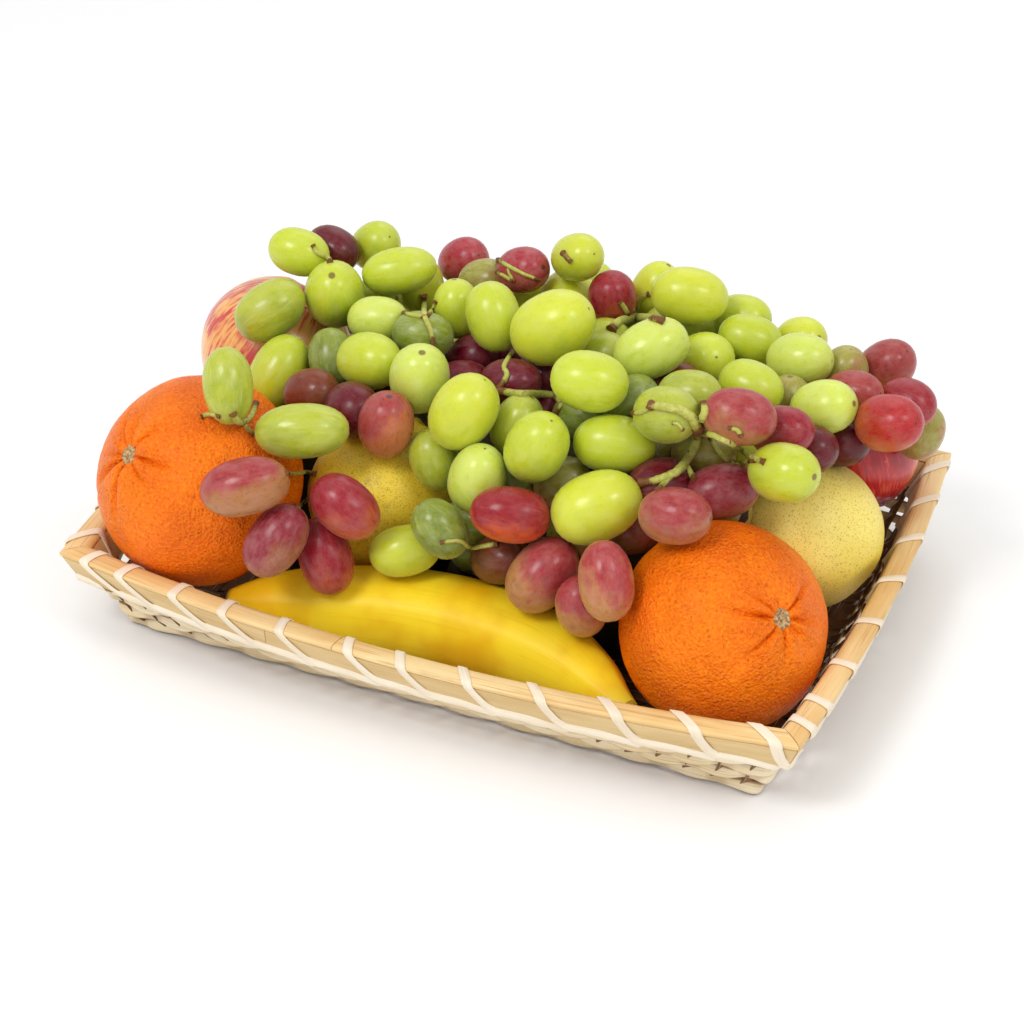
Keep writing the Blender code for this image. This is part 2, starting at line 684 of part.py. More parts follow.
def rim_guard():
    """A cutter that holds everything the grapes keep clear of at the walls, the rim and the floor."""
    inner = RIM_HALF_WIDTH + STRIP_CLEAR + STRIP + GAP
    below_bands = WINDOW_BOTTOM - GAP
    over_rim = GAP + TOP_STRIP + STRIP_CLEAR + STRIP + GAP
    floor_up = floor_share_up() + GAP
    shape = bmesh.new()
    rings = [
        ring_round_tray(60 * MM, -EDGE_HEIGHT - 5 * MM),
        ring_round_tray(60 * MM, over_rim),
        ring_round_tray(-inner, over_rim),
        ring_round_tray(-inner, below_bands),
        ring_round_tray(-WALL / 2 - 2 * GAP, -BOWED_RIM),
        ring_round_tray(-WALL / 2 - 2 * GAP, floor_up),
    ]
    skin_rings(shape, rings)
    return shape


def boolean(thing, operation, name, other, solver="EXACT"):
    """Add a Boolean with one object or with a collection, and apply it."""
    modifier = thing.modifiers.new(name, "BOOLEAN")
    modifier.operation = operation
    modifier.solver = solver
    if isinstance(other, bpy.types.Collection):
        modifier.operand_type = "COLLECTION"
        modifier.collection = other
    else:
        modifier.object = other
    graph = bpy.context.evaluated_depsgraph_get()
    cut = bpy.data.meshes.new_from_object(thing.evaluated_get(graph))
    thing.modifiers.clear()
    thing.data = cut
    return thing


def fruit_pieces():
    """Name, outline, axis and colour of each whole fruit but the banana."""
    return {
        "orange_left": (orange_profile(), ORANGE_LEFT_AXIS, "orange_peel"),
        "orange_right": (orange_profile(), ORANGE_RIGHT_AXIS, "orange_peel"),
        "pear_left": (pear_profile(), PEAR_LEFT_AXIS, "pear_skin"),
        "pear_right": (pear_profile(), PEAR_RIGHT_AXIS, "pear_skin"),
        "apple_left": (apple_profile(), APPLE_LEFT_AXIS, "apple_skin"),
        "apple_right": (apple_profile(), APPLE_RIGHT_AXIS, "apple_skin"),
    }


def build_tray(materials):
    shell = new_object("woven_tray", tray_shell(), materials["woven_bamboo"])
    windows = new_object("wall_windows", wall_windows(), None)
    boolean(shell, "DIFFERENCE", "windows", windows)
    bpy.data.objects.remove(windows)
    inside = WALL / 2 + GAP
    outside = RIM_HALF_WIDTH
    for side, name in enumerate(SIDE_NAMES):
        outer = band_piece(side, inside, outside, -OUTER_BAND_DROP, 0)
        inner = band_piece(side, -outside, -inside, -INNER_BAND_DROP, 0)
        top = band_piece(side, -outside, outside, GAP, GAP + TOP_STRIP)
        new_object(f"outer_band_{name}", outer, materials["bamboo_band"])
        new_object(f"inner_band_{name}", inner, materials["bamboo_band"])
        new_object(f"top_strip_{name}", top, materials["bamboo_band"])
    new_object("rim_lashing", lashing(), materials["lashing_strip"])


def build_fruit(materials):
    for name, (outline, axis, skin) in fruit_pieces().items():
        place, radius = FRUIT[name]
        stand_at(new_object(name, turned(outline, radius, FRUIT_SIDES), materials[skin]), place, axis)
    new_object("banana", banana(), materials["banana_skin"])


def fruit_cutters(rough):
    """Grown copies of the fruit. Rough ones have few sides and grow by enough to hold the true shape."""
    shapes = []
    for name, (outline, axis, _) in fruit_pieces().items():
        place, radius = FRUIT[name]
        if rough:
            few = [outline[0]] + outline[1:-1:2] + [outline[-1]]
            shape = turned(few, radius, ROUGH_SIDES, GAP + radius * ROUGH_GROWTH)
        else:
            shape = turned(outline, radius, FRUIT_SIDES, GAP)
        turn = axis.to_track_quat("Z", "Y").to_matrix().to_4x4()
        shape.transform(Matrix.Translation(place) @ turn)
        shapes.append(shape)
    return shapes + [banana(2 * GAP if rough else GAP), rim_guard()]


def cut_clear(heap, rough):
    """Cut the heap clear of the fruit, the rim, the walls and the floor."""
    for shape in fruit_cutters(rough):
        cutter = new_object("cutter", shape, None)
        boolean(heap, "DIFFERENCE", "clearance", cutter)
        bpy.data.objects.remove(cutter)


def build_grapes(materials):
    """Fuse core, berries and stalks into one heap that stays clear of the fruit and the tray."""
    berries = [berry for berry in all_berries() if dome_measure(berry["place"]) > BURIED]
    heap = new_object("grapes", core_shape(berries), materials["grape_skin"])
    cut_clear(heap, rough=True)
    pieces = bpy.data.collections.new("grape_pieces")
    core = BVHTree.FromObject(heap, bpy.context.evaluated_depsgraph_get())
    for shape in [berry_shape(berry) for berry in berries] + stalks(berries, core):
        pieces.objects.link(new_object("grape_piece", shape, None))
    boolean(heap, "UNION", "berries", pieces, "MANIFOLD")
    for piece in list(pieces.objects):
        bpy.data.objects.remove(piece)
    bpy.data.collections.remove(pieces)
    cut_clear(heap, rough=False)
    drop_scraps(heap.data)


def drop_scraps(mesh):
    """Keep the largest connected body of a mesh and remove loose scraps."""
    shape = bmesh.new()
    shape.from_mesh(mesh)
    waiting = set(shape.verts)
    bodies = []
    while waiting:
        queue = [waiting.pop()]
        body = []
        while queue:
            vert = queue.pop()
            body.append(vert)
            for edge in vert.link_edges:
                other = edge.other_vert(vert)
                if other in waiting:
                    waiting.remove(other)
                    queue.append(other)
        bodies.append(body)
    bodies.sort(key=len)
    for body in bodies[:-1]:
        bmesh.ops.delete(shape, geom=body, context="VERTS")
    shape.to_mesh(mesh)
    shape.free()


def main():
    for thing in list(bpy.data.objects):
        bpy.data.objects.remove(thing)
    materials = {
        "woven_bamboo": new_material("woven_bamboo", (0.72, 0.58, 0.36), 0.65),
        "bamboo_band": new_material("bamboo_band", (0.68, 0.48, 0.24), 0.5),
        "lashing_strip": new_material("lashing_strip", (0.84, 0.76, 0.60), 0.6),
        "orange_peel": new_material("orange_peel", (0.95, 0.26, 0.01), 0.4),
        "pear_skin": new_material("pear_skin", (0.76, 0.60, 0.12), 0.45),
        "apple_skin": new_material("apple_skin", (0.55, 0.05, 0.04), 0.3),
        "banana_skin": new_material("banana_skin", (0.90, 0.58, 0.03), 0.45),
        "grape_skin": new_material("grape_skin", (0.42, 0.50, 0.06), 0.25),
    }
    build_tray(materials)
    build_fruit(materials)
    build_grapes(materials)


main()
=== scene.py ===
import math
import random

import bpy
import numpy as np
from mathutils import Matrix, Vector, noise
from mathutils.bvhtree import BVHTree


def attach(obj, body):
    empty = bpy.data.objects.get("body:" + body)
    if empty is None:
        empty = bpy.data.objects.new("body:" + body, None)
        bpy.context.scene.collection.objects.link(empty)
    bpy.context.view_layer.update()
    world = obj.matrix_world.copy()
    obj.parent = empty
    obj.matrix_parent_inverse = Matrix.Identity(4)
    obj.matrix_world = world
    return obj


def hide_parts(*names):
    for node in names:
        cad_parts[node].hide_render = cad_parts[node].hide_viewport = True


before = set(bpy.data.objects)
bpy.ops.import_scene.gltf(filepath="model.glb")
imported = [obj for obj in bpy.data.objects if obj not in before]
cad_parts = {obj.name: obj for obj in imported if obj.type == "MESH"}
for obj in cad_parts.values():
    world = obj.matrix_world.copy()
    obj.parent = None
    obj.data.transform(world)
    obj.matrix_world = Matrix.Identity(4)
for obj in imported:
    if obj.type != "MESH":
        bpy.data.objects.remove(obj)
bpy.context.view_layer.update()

mm = 0.001
gap = 0.3 * mm
golden = math.pi * (3 - math.sqrt(5))
luck = random.Random(11)

# The photo's camera, which the fruit and the stems are placed by
photoView = {
    "focalPixels": 2100, "middlePixel": 512, "pictureWidth": 1024, "sensor": 36,
    "azimuth": 23.8, "elevation": 32.3, "distance": 982, "target": (-27.8, 52.1, 0),
}
azimuth = math.radians(photoView["azimuth"])
elevation = math.radians(photoView["elevation"])
toCamera = np.array((
    math.sin(azimuth) * math.cos(elevation), -math.cos(azimuth) * math.cos(elevation), math.sin(elevation),
))
cameraRight = np.array((math.cos(azimuth), math.sin(azimuth), 0))
cameraUp = np.cross(toCamera, cameraRight)
cameraPlace = np.array(photoView["target"]) * mm + toCamera * photoView["distance"] * mm

camera = bpy.data.objects.new("camera", bpy.data.cameras.new("camera"))
bpy.context.scene.collection.objects.link(camera)
camera.data.sensor_width = photoView["sensor"]
camera.data.lens = photoView["focalPixels"] / photoView["pictureWidth"] * photoView["sensor"]
camera.location = cameraPlace
camera.rotation_euler = Vector(toCamera).to_track_quat("Z", "Y").to_euler()
bpy.context.scene.camera = camera
bpy.context.scene.view_settings.view_transform = "Standard"
print("camera set")


def sightLine(u, v):
    middle = photoView["middlePixel"]
    way = cameraRight * (u - middle) + cameraUp * (middle - v) - toCamera * photoView["focalPixels"]
    return way / np.linalg.norm(way)


def unit(vectors):
    return vectors / np.maximum(np.linalg.norm(vectors, axis=-1, keepdims=True), 1e-12)


# Colours are given as 0 to 255 screen values
def colourOf(red, green, blue):
    shades = [value / 255 for value in (red, green, blue)]
    return tuple(s / 12.92 if s < 0.04 else ((s + 0.055) / 1.055) ** 2.4 for s in shades) + (1,)


# A part holds points, faces, and values for each point
def partOf(points, faces, **values):
    points = np.asarray(points, float).reshape(-1, 3)
    for name, rows in values.items():
        rows = np.asarray(rows, float)
        values[name] = np.broadcast_to(rows.reshape(-1, 3) if rows.ndim > 2 else rows, points.shape)
    return {"points": points, "faces": faces, "values": values}


def gridFaces(rows, columns, wrapped=False):
    faces = []
    for row in range(rows if wrapped else rows - 1):
        here, above = row * columns, (row + 1) % rows * columns
        for column in range(columns):
            ahead = (column + 1) % columns
            faces.append((here + column, here + ahead, above + ahead, above + column))
    return faces


def tubeFaces(rows, columns):
    last = (rows - 1) * columns
    return gridFaces(rows, columns) + [tuple(range(columns))[::-1], tuple(range(last, last + columns))]


# Rings closed by a fan at each end, whose two points follow the rings
def fanFaces(rows, columns):
    faces, last, foot = gridFaces(rows, columns), (rows - 1) * columns, rows * columns
    for column in range(columns):
        ahead = (column + 1) % columns
        faces += [(foot, ahead, column), (foot + 1, last + column, last + ahead)]
    return faces


def turnsOf(sides):
    return [2 * math.pi * k / sides for k in range(sides)]


def joined(parts):
    points, faces, values, offset = [], [], {}, 0
    for part in parts:
        points.append(part["points"])
        faces += [tuple(index + offset for index in face) for face in part["faces"]]
        for name in part["values"]:
            values.setdefault(name, []).append(part["values"][name])
        offset += len(part["points"])
    wholeValues = {name: np.concatenate(rows) for name, rows in values.items()}
    return partOf(np.concatenate(points), faces, **wholeValues)


def newPiece(name, part, material, replaced=(), sharpAngle=None):
    mesh = bpy.data.meshes.new(name)
    mesh.from_pydata(part["points"].tolist(), [], part["faces"])
    for valueName, rows in part["values"].items():
        layer = mesh.attributes.new(valueName, "FLOAT_VECTOR", "POINT")
        layer.data.foreach_set("vector", np.asarray(rows, np.float32).ravel())
    mesh.materials.append(material)
    mesh.shade_smooth()
    if sharpAngle:
        mesh.set_sharp_from_angle(angle=math.radians(sharpAngle))
    piece = bpy.data.objects.new(name, mesh)
    bpy.context.scene.collection.objects.link(piece)
    if replaced:
        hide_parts(*replaced)
    return piece


# Turn a part that was made round +Z to its own axis and place; its own coordinates stay with it for the skin
def standing(part, place, axis):
    turn = np.array(Vector(axis).to_track_quat("Z", "Y").to_matrix())
    return partOf(part["points"] @ turn.T + place, part["faces"], fruitPlace=part["points"])


def travelAlong(points):
    return np.concatenate([[0], np.cumsum(np.linalg.norm(np.diff(points, axis=0), axis=1))])


def smoothLine(values, count):
    values = np.asarray(values, float)
    position = np.linspace(0, len(values) - 1, count)
    index = np.minimum(position.astype(int), len(values) - 2)
    share = (position - index).reshape((-1,) + (1,) * (values.ndim - 1))
    before, start = values[np.maximum(index - 1, 0)], values[index]
    end, after = values[index + 1], values[np.minimum(index + 2, len(values) - 1)]
    square, cube = share ** 2, share ** 3
    return (start * (2 * cube - 3 * square + 1) + (end - before) * 0.5 * (cube - 2 * square + share)
            + end * (3 * square - 2 * cube) + (after - start) * 0.5 * (cube - square))


# Shader helpers: a socket takes another node's output or a plain value
def addNode(tree, kind, sockets=None, **settings):
    node = tree.nodes.new("ShaderNode" + kind)
    for key, value in settings.items():
        setattr(node, key, value)
    for key, value in (sockets or {}).items():
        if isinstance(value, bpy.types.NodeSocket):
            tree.links.new(value, node.inputs[key])
        else:
            node.inputs[key].default_value = value
    return node


def mathNode(tree, operation, first, second=0.0):
    return addNode(tree, "Math", {0: first, 1: second}, operation=operation).outputs[0]


def vectorMath(tree, operation, first, second=(0, 0, 0)):
    return addNode(tree, "VectorMath", {0: first, 1: second}, operation=operation).outputs[0]


def axesOf(tree, vector):
    return addNode(tree, "SeparateXYZ", {0: vector}).outputs


# The sum of values, each times its share
def weighted(tree, *terms):
    total = None
    for value, share in terms:
        product = mathNode(tree, "MULTIPLY", value, share)
        total = mathNode(tree, "ADD", total, product) if total else product
    return total


def stepNode(tree, value, low, high, lowOut=0.0, highOut=1.0):
    sockets = {"Value": value, "From Min": low, "From Max": high, "To Min": lowOut, "To Max": highOut}
    return addNode(tree, "MapRange", sockets, interpolation_type="SMOOTHSTEP").outputs[0]


# Colours are sockets, or screen values that are turned into shader colours here
def mixColours(tree, factor, first, second):
    sockets = {0: factor}
    for key, shade in ((6, first), (7, second)):
        sockets[key] = shade if isinstance(shade, bpy.types.NodeSocket) else colourOf(*shade)
    return addNode(tree, "Mix", sockets, data_type="RGBA").outputs[2]


# A second colour over the base, where a value goes from low to high
def laidOver(tree, base, colour, value, low, high, most=1.0):
    return mixColours(tree, stepNode(tree, value, low, high, 0, most), base, colour)


def noiseValue(tree, place, scale, detail=3.0, rough=0.5):
    sockets = {"Vector": place, "Scale": scale, "Detail": detail, "Roughness": rough}
    return addNode(tree, "TexNoise", sockets).outputs[0]


def readValue(tree, name):
    return addNode(tree, "Attribute", attribute_name=name).outputs["Vector"]


def newGroup(name, inputs, outputs):
    group = bpy.data.node_groups.new(name, "ShaderNodeTree")
    for direction, socketNames in (("INPUT", inputs), ("OUTPUT", outputs)):
        for socketName in socketNames:
            kind = "NodeSocketVector" if socketName == "Place" else "NodeSocketFloat"
            group.interface.new_socket(socketName, in_out=direction, socket_type=kind)
    return group, group.nodes.new("NodeGroupInput").outputs, group.nodes.new("NodeGroupOutput").inputs


def newMaterial(name, sockets):
    material = bpy.data.materials.new(name)
    material.use_nodes = True
    for key, value in sockets.items():
        material.node_tree.nodes["Principled BSDF"].inputs[key].default_value = value
    return material, material.node_tree


# Link the colour to the shader and, where given, the roughness and a bump of this height
def linkSkin(tree, base, height=None, strength=0.0, distance=0.0, rough=None):
    shader = tree.nodes["Principled BSDF"]
    tree.links.new(base, shader.inputs["Base Color"])
    if rough:
        tree.links.new(rough, shader.inputs["Roughness"])
    if height:
        bump = addNode(tree, "Bump", {"Strength": strength, "Distance": distance, "Height": height})
        tree.links.new(bump.outputs[0], shader.inputs["Normal"])


# Small round dots, such as specks, lenticels or pores
def dotsGroup():
    inputs = ("Place", "Per Metre", "Dot Size", "Share", "Softness")
    group, given, out = newGroup("smallDots", inputs, ("Mask",))
    cells = addNode(group, "TexVoronoi", {"Vector": given["Place"], "Scale": given["Per Metre"]}).outputs
    chances = addNode(group, "SeparateColor", {0: cells["Color"]}).outputs
    kept = mathNode(group, "LESS_THAN", chances[0], given["Share"])
    size = mathNode(group, "MULTIPLY", given["Dot Size"], stepNode(group, chances[1], 0, 1, 0.5, 1.2))
    edge = mathNode(group, "ADD", size, given["Softness"])
    near = stepNode(group, cells["Distance"], size, edge, 1.0, 0.0)
    group.links.new(mathNode(group, "MULTIPLY", near, kept), out["Mask"])
    return group


# Lines that run from pole to pole of a round fruit, whose middle is at 0 and whose axis is Z
def meridianGroup():
    group, given, out = newGroup("meridianLines", ("Place", "Lines", "Stretch", "Seed"), ("Value",))
    flat = vectorMath(group, "NORMALIZE", vectorMath(group, "MULTIPLY", given["Place"], (1, 1, 0)))
    high = vectorMath(group, "MULTIPLY", vectorMath(group, "NORMALIZE", given["Place"]), (0, 0, 1))
    rise = addNode(group, "VectorMath", {0: high, "Scale": given["Stretch"]}, operation="SCALE").outputs[0]
    sockets = {
        "Vector": vectorMath(group, "ADD", flat, rise), "W": given["Seed"], "Scale": given["Lines"],
        "Detail": 3.0, "Roughness": 0.6,
    }
    group.links.new(addNode(group, "TexNoise", sockets, noise_dimensions="4D").outputs[0], out["Value"])
    return group


# Long fibres and broad patches of split bamboo; Place is length, width and seed of the strip
def fibreGroup():
    group, given, out = newGroup("bambooFibre", ("Place", "Fineness"), ("Fibre", "Patch"))
    thin = vectorMath(group, "MULTIPLY", given["Place"], (0.02, 1, 1))
    wide = vectorMath(group, "MULTIPLY", given["Place"], (0.25, 1, 1))
    group.links.new(noiseValue(group, thin, given["Fineness"], 4.0, 0.65), out["Fibre"])
    group.links.new(noiseValue(group, wide, 90.0, 2.0), out["Patch"])
    return group


smallDots = dotsGroup()
meridianLines = meridianGroup()
bambooFibre = fibreGroup()


def dotsMask(tree, place, perMetre, size, share, softness):
    sockets = {"Place": place, "Per Metre": perMetre, "Dot Size": size, "Share": share, "Softness": softness}
    return addNode(tree, "Group", sockets, node_tree=smallDots).outputs[0]


def meridians(tree, place, lines, stretch, seed):
    sockets = {"Place": place, "Lines": lines, "Stretch": stretch, "Seed": seed}
    return addNode(tree, "Group", sockets, node_tree=meridianLines).outputs[0]


# Split bamboo: fibres, paler and darker patches, fine dark lines, and for weavers painted shade where they
# dip in behind the stakes and along their edges
def bambooMaterial(name, looks):
    material, tree = newMaterial(name, {"Specular IOR Level": 0.35})
    place = readValue(tree, "stripPlace")
    sockets = {"Place": place, "Fineness": looks["fineness"]}
    fibre, patch = addNode(tree, "Group", sockets, node_tree=bambooFibre).outputs
    seed = axesOf(tree, place)[2]
    stripTone = addNode(tree, "TexWhiteNoise", {"W": seed}, noise_dimensions="1D").outputs[0]
    base = laidOver(tree, looks["light"], looks["dark"], patch, 0.35, 0.65)
    base = mixColours(tree, mathNode(tree, "MULTIPLY", stripTone, looks["variety"]), base, looks["other"])
    base = laidOver(tree, base, looks["line"], fibre, 0.52, 0.75, looks["lines"])
    base = mixColours(tree, stepNode(tree, fibre, 0.30, 0.45, looks["pale"], 0), base, looks["paleFibre"])
    # Weavers only: painted shade, darker where they dip in behind the stakes and along their edges
    if "dip" in looks:
        dip, across, _ = axesOf(tree, readValue(tree, "stripDip"))
        edge = stepNode(tree, mathNode(tree, "ABSOLUTE", across), 0.62, 0.98, 0, looks["edge"])
        dark = mathNode(tree, "MAXIMUM", stepNode(tree, dip, 0.1, 0.9, 0, looks["dip"]), edge)
        base = mixColours(tree, dark, base, looks["dipColour"])
    rough = stepNode(tree, fibre, 0.2, 0.8, looks["rough"] - 0.1, looks["rough"] + 0.12)
    linkSkin(tree, base, fibre, looks["bump"], 0.0004, rough)
    return material


bandLooks = {
    "light": (222, 192, 136), "dark": (206, 172, 114), "other": (228, 200, 144), "variety": 0.3,
    "line": (160, 120, 66), "lines": 0.30, "paleFibre": (240, 220, 175), "pale": 0.35,
    "rough": 0.5, "bump": 0.25, "fineness": 1700.0,
}
stripLooks = {
    "light": (242, 212, 154), "dark": (228, 186, 120), "other": (220, 176, 112), "variety": 0.35,
    "line": (150, 98, 46), "lines": 0.55, "paleFibre": (246, 224, 176), "pale": 0.4,
    "rough": 0.42, "bump": 0.4, "fineness": 1100.0,
}
lashingLooks = {
    "light": (247, 236, 216), "dark": (238, 222, 196), "other": (232, 214, 184), "variety": 0.3,
    "line": (205, 178, 138), "lines": 0.4, "paleFibre": (254, 248, 236), "pale": 0.6,
    "rough": 0.5, "bump": 0.35, "fineness": 2100.0,
}
weaverLooks = {
    "light": (250, 236, 204), "dark": (238, 216, 172), "other": (226, 198, 146), "variety": 0.5,
    "line": (160, 120, 70), "lines": 0.5, "paleFibre": (255, 248, 228), "pale": 0.55,
    "rough": 0.6, "bump": 0.6, "fineness": 1300.0,
}
# Stakes: a darker copy of the weaver bamboo, painted shade for the stakes seen through the slots and across
# the floor
shadedStakeLooks = dict(weaverLooks, light=(140, 98, 60), dark=(108, 72, 42), other=(94, 62, 34))
# Weavers' painted shade: dip darkens where they swing in behind the stakes, edge darkens along their edges
weaverLooks.update(dip=0.35, edge=0.85, dipColour=(146, 102, 54))
bandBamboo = bambooMaterial("bandBamboo", bandLooks)
shadedStakeBamboo = bambooMaterial("shadedStakeBamboo", shadedStakeLooks)
stripBamboo = bambooMaterial("stripBamboo", stripLooks)
lashingBamboo = bambooMaterial("lashingBamboo", lashingLooks)
weaverBamboo = bambooMaterial("weaverBamboo", weaverLooks)

# Tray: the sizes that every piece of it shares
tray = {
    "length": 320, "depth": 229, "height": 43.7, "baseInset": 14.4, "wall": 2.4, "floor": 2.4, "band": 3.1,
    "outerDrop": 12.5, "innerDrop": 11.5, "topStrip": 2.7, "bow": (10.9, 6.2, 7, 10.9),
    "sag": (2.9, 1.2, 2.0, 1.5), "bowedRim": 15,
}
rimHalf = (tray["wall"] / 2 + tray["band"]) * mm + gap
edgeHeight = (tray["height"] - tray["topStrip"]) * mm - gap
edgeHalf = (tray["length"] / 2 * mm - rimHalf, tray["depth"] / 2 * mm - rimHalf)
baseHalf = (edgeHalf[0] - tray["baseInset"] * mm, edgeHalf[1] - tray["baseInset"] * mm)
fullBowShare = 1 - tray["bowedRim"] * mm / edgeHeight
straightShare = 2 * tray["floor"] * mm / edgeHeight
sideNames = ("Front", "Right", "Back", "Left")


# A point of the tray: along runs from -1 to 1 down a side, out and up are from the wall's top edge
def trayPoint(side, along, out, up):
    share = 1 + up / edgeHeight
    halfX = baseHalf[0] + (edgeHalf[0] - baseHalf[0]) * share + out
    halfY = baseHalf[1] + (edgeHalf[1] - baseHalf[1]) * share + out
    bent = min(max((share - straightShare) / (fullBowShare - straightShare), 0), 1) * (1 - along * along)
    height = share * edgeHeight - tray["sag"][side] * mm * bent
    bow = tray["bow"][side] * mm * bent
    x, y = (along * halfX, -halfY - bow) if side % 2 == 0 else (halfX + bow, along * halfY)
    if side >= 2:
        x, y = -x, -y
    return np.array((x, y, height))


def sideHalf(side):
    return edgeHalf[side % 2]


def sectionPoint(side, travel, out, up):
    return trayPoint(side, travel / sideHalf(side) - 1, out, up)


# A flat strip along a line of points, standing on the side that its normals point away from
def ribbon(points, normals, width, thickness, seed, crown=0.0, closed=False, across=None):
    points, normals = np.asarray(points), unit(np.asarray(normals))
    if closed:
        ahead, behind = np.roll(points, -1, 0), np.roll(points, 1, 0)
    else:
        ahead = np.concatenate([points[1:], points[-1:]])
        behind = np.concatenate([points[:1], points[:-1]])
    natural = unit(np.cross(normals, unit(ahead - behind)))
    across = natural if across is None else across
    normals = unit(np.cross(unit(ahead - behind), across))
    width = np.broadcast_to(width, len(points))[:, None] / np.maximum(0.6, (natural * across).sum(1))[:, None]
    edge = thickness * 0.3
    section = (
        (-0.5, 0, edge), (-0.5, edge, 0), (0, 0, 0), (0.5, -edge, 0), (0.5, 0, edge),
        (0.5, 0, thickness - edge), (0.5, -edge, thickness), (0, 0, thickness + crown),
        (-0.5, edge, thickness), (-0.5, 0, thickness - edge),
    )
    rings, strips = [], []
    travelled = travelAlong(points)
    for share, inward, high in section:
        sideways = width * share + inward
        rings.append(points + across * sideways + normals * high)
        strips.append(np.stack([travelled, sideways[:, 0] + high * 0.5, np.full(len(points), seed)], 1))
    count = len(section)
    faces = gridFaces(len(points), count, True) if closed else tubeFaces(len(points), count)
    return partOf(np.stack(rings, 1), faces, stripPlace=np.stack(strips, 1))


def softened(points, rounds, closed=False):
    points = np.asarray(points, float)
    for _ in range(rounds):
        if closed:
            points = (np.roll(points, 1, 0) + 2 * points + np.roll(points, -1, 0)) / 4
        else:
            points[1:-1] = (points[:-2] + 2 * points[1:-1] + points[2:]) / 4
    return points


# Wall and floor: stakes run down one wall, across the floor and up the other, and weavers go round the walls
weave = {
    "stakes": (24, 17), "stakeWidth": 4.4, "stakeThickness": 0.8, "stakeTop": -1.5, "step": 2.0,
    "weaverRows": (-16.6, -23.2, -29.8, -36.2), "weaverWidth": 6.4, "weaverThickness": 0.8,
    "weaverSwing": 0.45, "weaverOut": 0.5, "weaverWander": 0.3, "slotDepth": 0.42, "slotLength": 0.6,
    "slotVariety": 0.3, "floorHeight": 1.35, "floorSwing": 0.42, "floorWidth": 9.4, "floorEnds": (4, 3.9),
    "stakeFoot": 2.5, "stakeWidths": (0.93, 1.05),
}


def stakeLine(family, number):
    count = weave["stakes"][family]
    along = (number + 0.5) * 2 / count - 1
    firstSide, lastSide = ((0, 2), (3, 1))[family]
    thickness = weave["stakeThickness"] * mm
    step = weave["step"] * mm
    start = weave["stakeTop"] * mm
    ups = np.arange(start, -edgeHeight + weave["stakeFoot"] * mm, -step)
    floorStart, floorEnd = weave["floorEnds"]
    points, normals, widths = [], [], []
    for side, order in ((firstSide, 1), (lastSide, -1)):
        here = along if (side == firstSide) == (family == 0) else -along
        wall = [trayPoint(side, here, -thickness / 2, up) for up in ups][::order]
        facing = [trayPoint(side, here, 1 * mm, up) - trayPoint(side, here, 0, up) for up in ups][::order]
        if order == -1:
            otherHalf = baseHalf[1 - family]
            acrossFloor = np.arange(-otherHalf + floorStart * mm, otherHalf - floorEnd * mm, step)
            crossings = weave["stakes"][1 - family]
            for travel in acrossFloor:
                phase = math.pi * (travel / baseHalf[1 - family] + 1) / 2 * crossings
                swing = math.sin(phase + math.pi * number + math.pi * family) * weave["floorSwing"] * mm
                height = weave["floorHeight"] * mm + swing + thickness / 2
                run = along * baseHalf[family]
                points.append(np.array((run, travel, height) if family == 0 else (travel, run, height)))
                normals.append(np.array((0, 0, -1.0)))
                widths.append(weave["floorWidth"] * mm)
        points += wall
        normals += facing
        widths += [weave["stakeWidth"] * mm] * len(wall)
    widths = softened(np.array(widths), 6) * luck.uniform(*weave["stakeWidths"])
    return softened(points, 2), softened(normals, 3), widths


def weaverLine(row, up):
    counts = [weave["stakes"][side % 2] for side in range(4)]
    lowest = min(weave["weaverRows"]) * mm
    points, normals, paintedShadeDips, widths = [], [], [], []
    for side in range(4):
        length = 2 * (baseHalf[side % 2] + (edgeHalf[side % 2] - baseHalf[side % 2]) * (1 + up / edgeHeight))
        steps = round(length / (weave["step"] * mm))
        for k in range(steps):
            along = 2 * (k + 0.5) / steps - 1
            index = sum(counts[:side]) + (along + 1) / 2 * counts[side]
            wave = math.sin(math.pi * (index + row))
            slot = max(0, (weave["slotLength"] - wave) / (1 + weave["slotLength"])) * weave["slotDepth"]
            slot *= 1 + weave["slotVariety"] * math.sin(index * 1.9 + row * 4.1)
            width = weave["weaverWidth"] * mm * (1 - slot)
            shift = (weave["weaverWidth"] * mm - width) / 2 * (-1 if up == lowest else 1)
            height = up + shift + weave["weaverWander"] * mm * math.sin(index * 0.7 + row * 2.1)
            out = (wave * weave["weaverSwing"] + weave["weaverOut"] - weave["weaverThickness"] / 2) * mm
            points.append(trayPoint(side, along, out, height))
            normals.append(trayPoint(side, along, out + 1 * mm, height) - points[-1])
            # How far the weaver swings in, which the material turns into painted shade
            paintedShadeDips.append((-wave, 0, 0))
            widths.append(width)
    return softened(points, 2, True), softened(normals, 2, True), softened(widths, 2, True), paintedShadeDips


def wovenTray():
    stakes, weavers = [], []
    for family in (0, 1):
        for number in range(weave["stakes"][family]):
            points, normals, widths = stakeLine(family, number)
            stakes.append(ribbon(points, normals, widths, weave["stakeThickness"] * mm, luck.uniform(0, 9)))
    for row, up in enumerate(weave["weaverRows"]):
        points, normals, widths, paintedShadeDips = weaverLine(row, up * mm)
        thickness, seed = weave["weaverThickness"] * mm, luck.uniform(0, 9)
        weaver = ribbon(points, normals, widths, thickness, seed, 0.15 * mm, True)
        paintedShadeDips = np.repeat(paintedShadeDips, len(weaver["points"]) // len(points), 0)
        paintedShadeDips[:, 1] = weaver["values"]["stripPlace"][:, 1] / np.repeat(widths / 2, len(paintedShadeDips) // len(points))
        weaver["values"]["stripDip"] = paintedShadeDips
        weavers.append(weaver)
    return joined(stakes), joined(weavers)


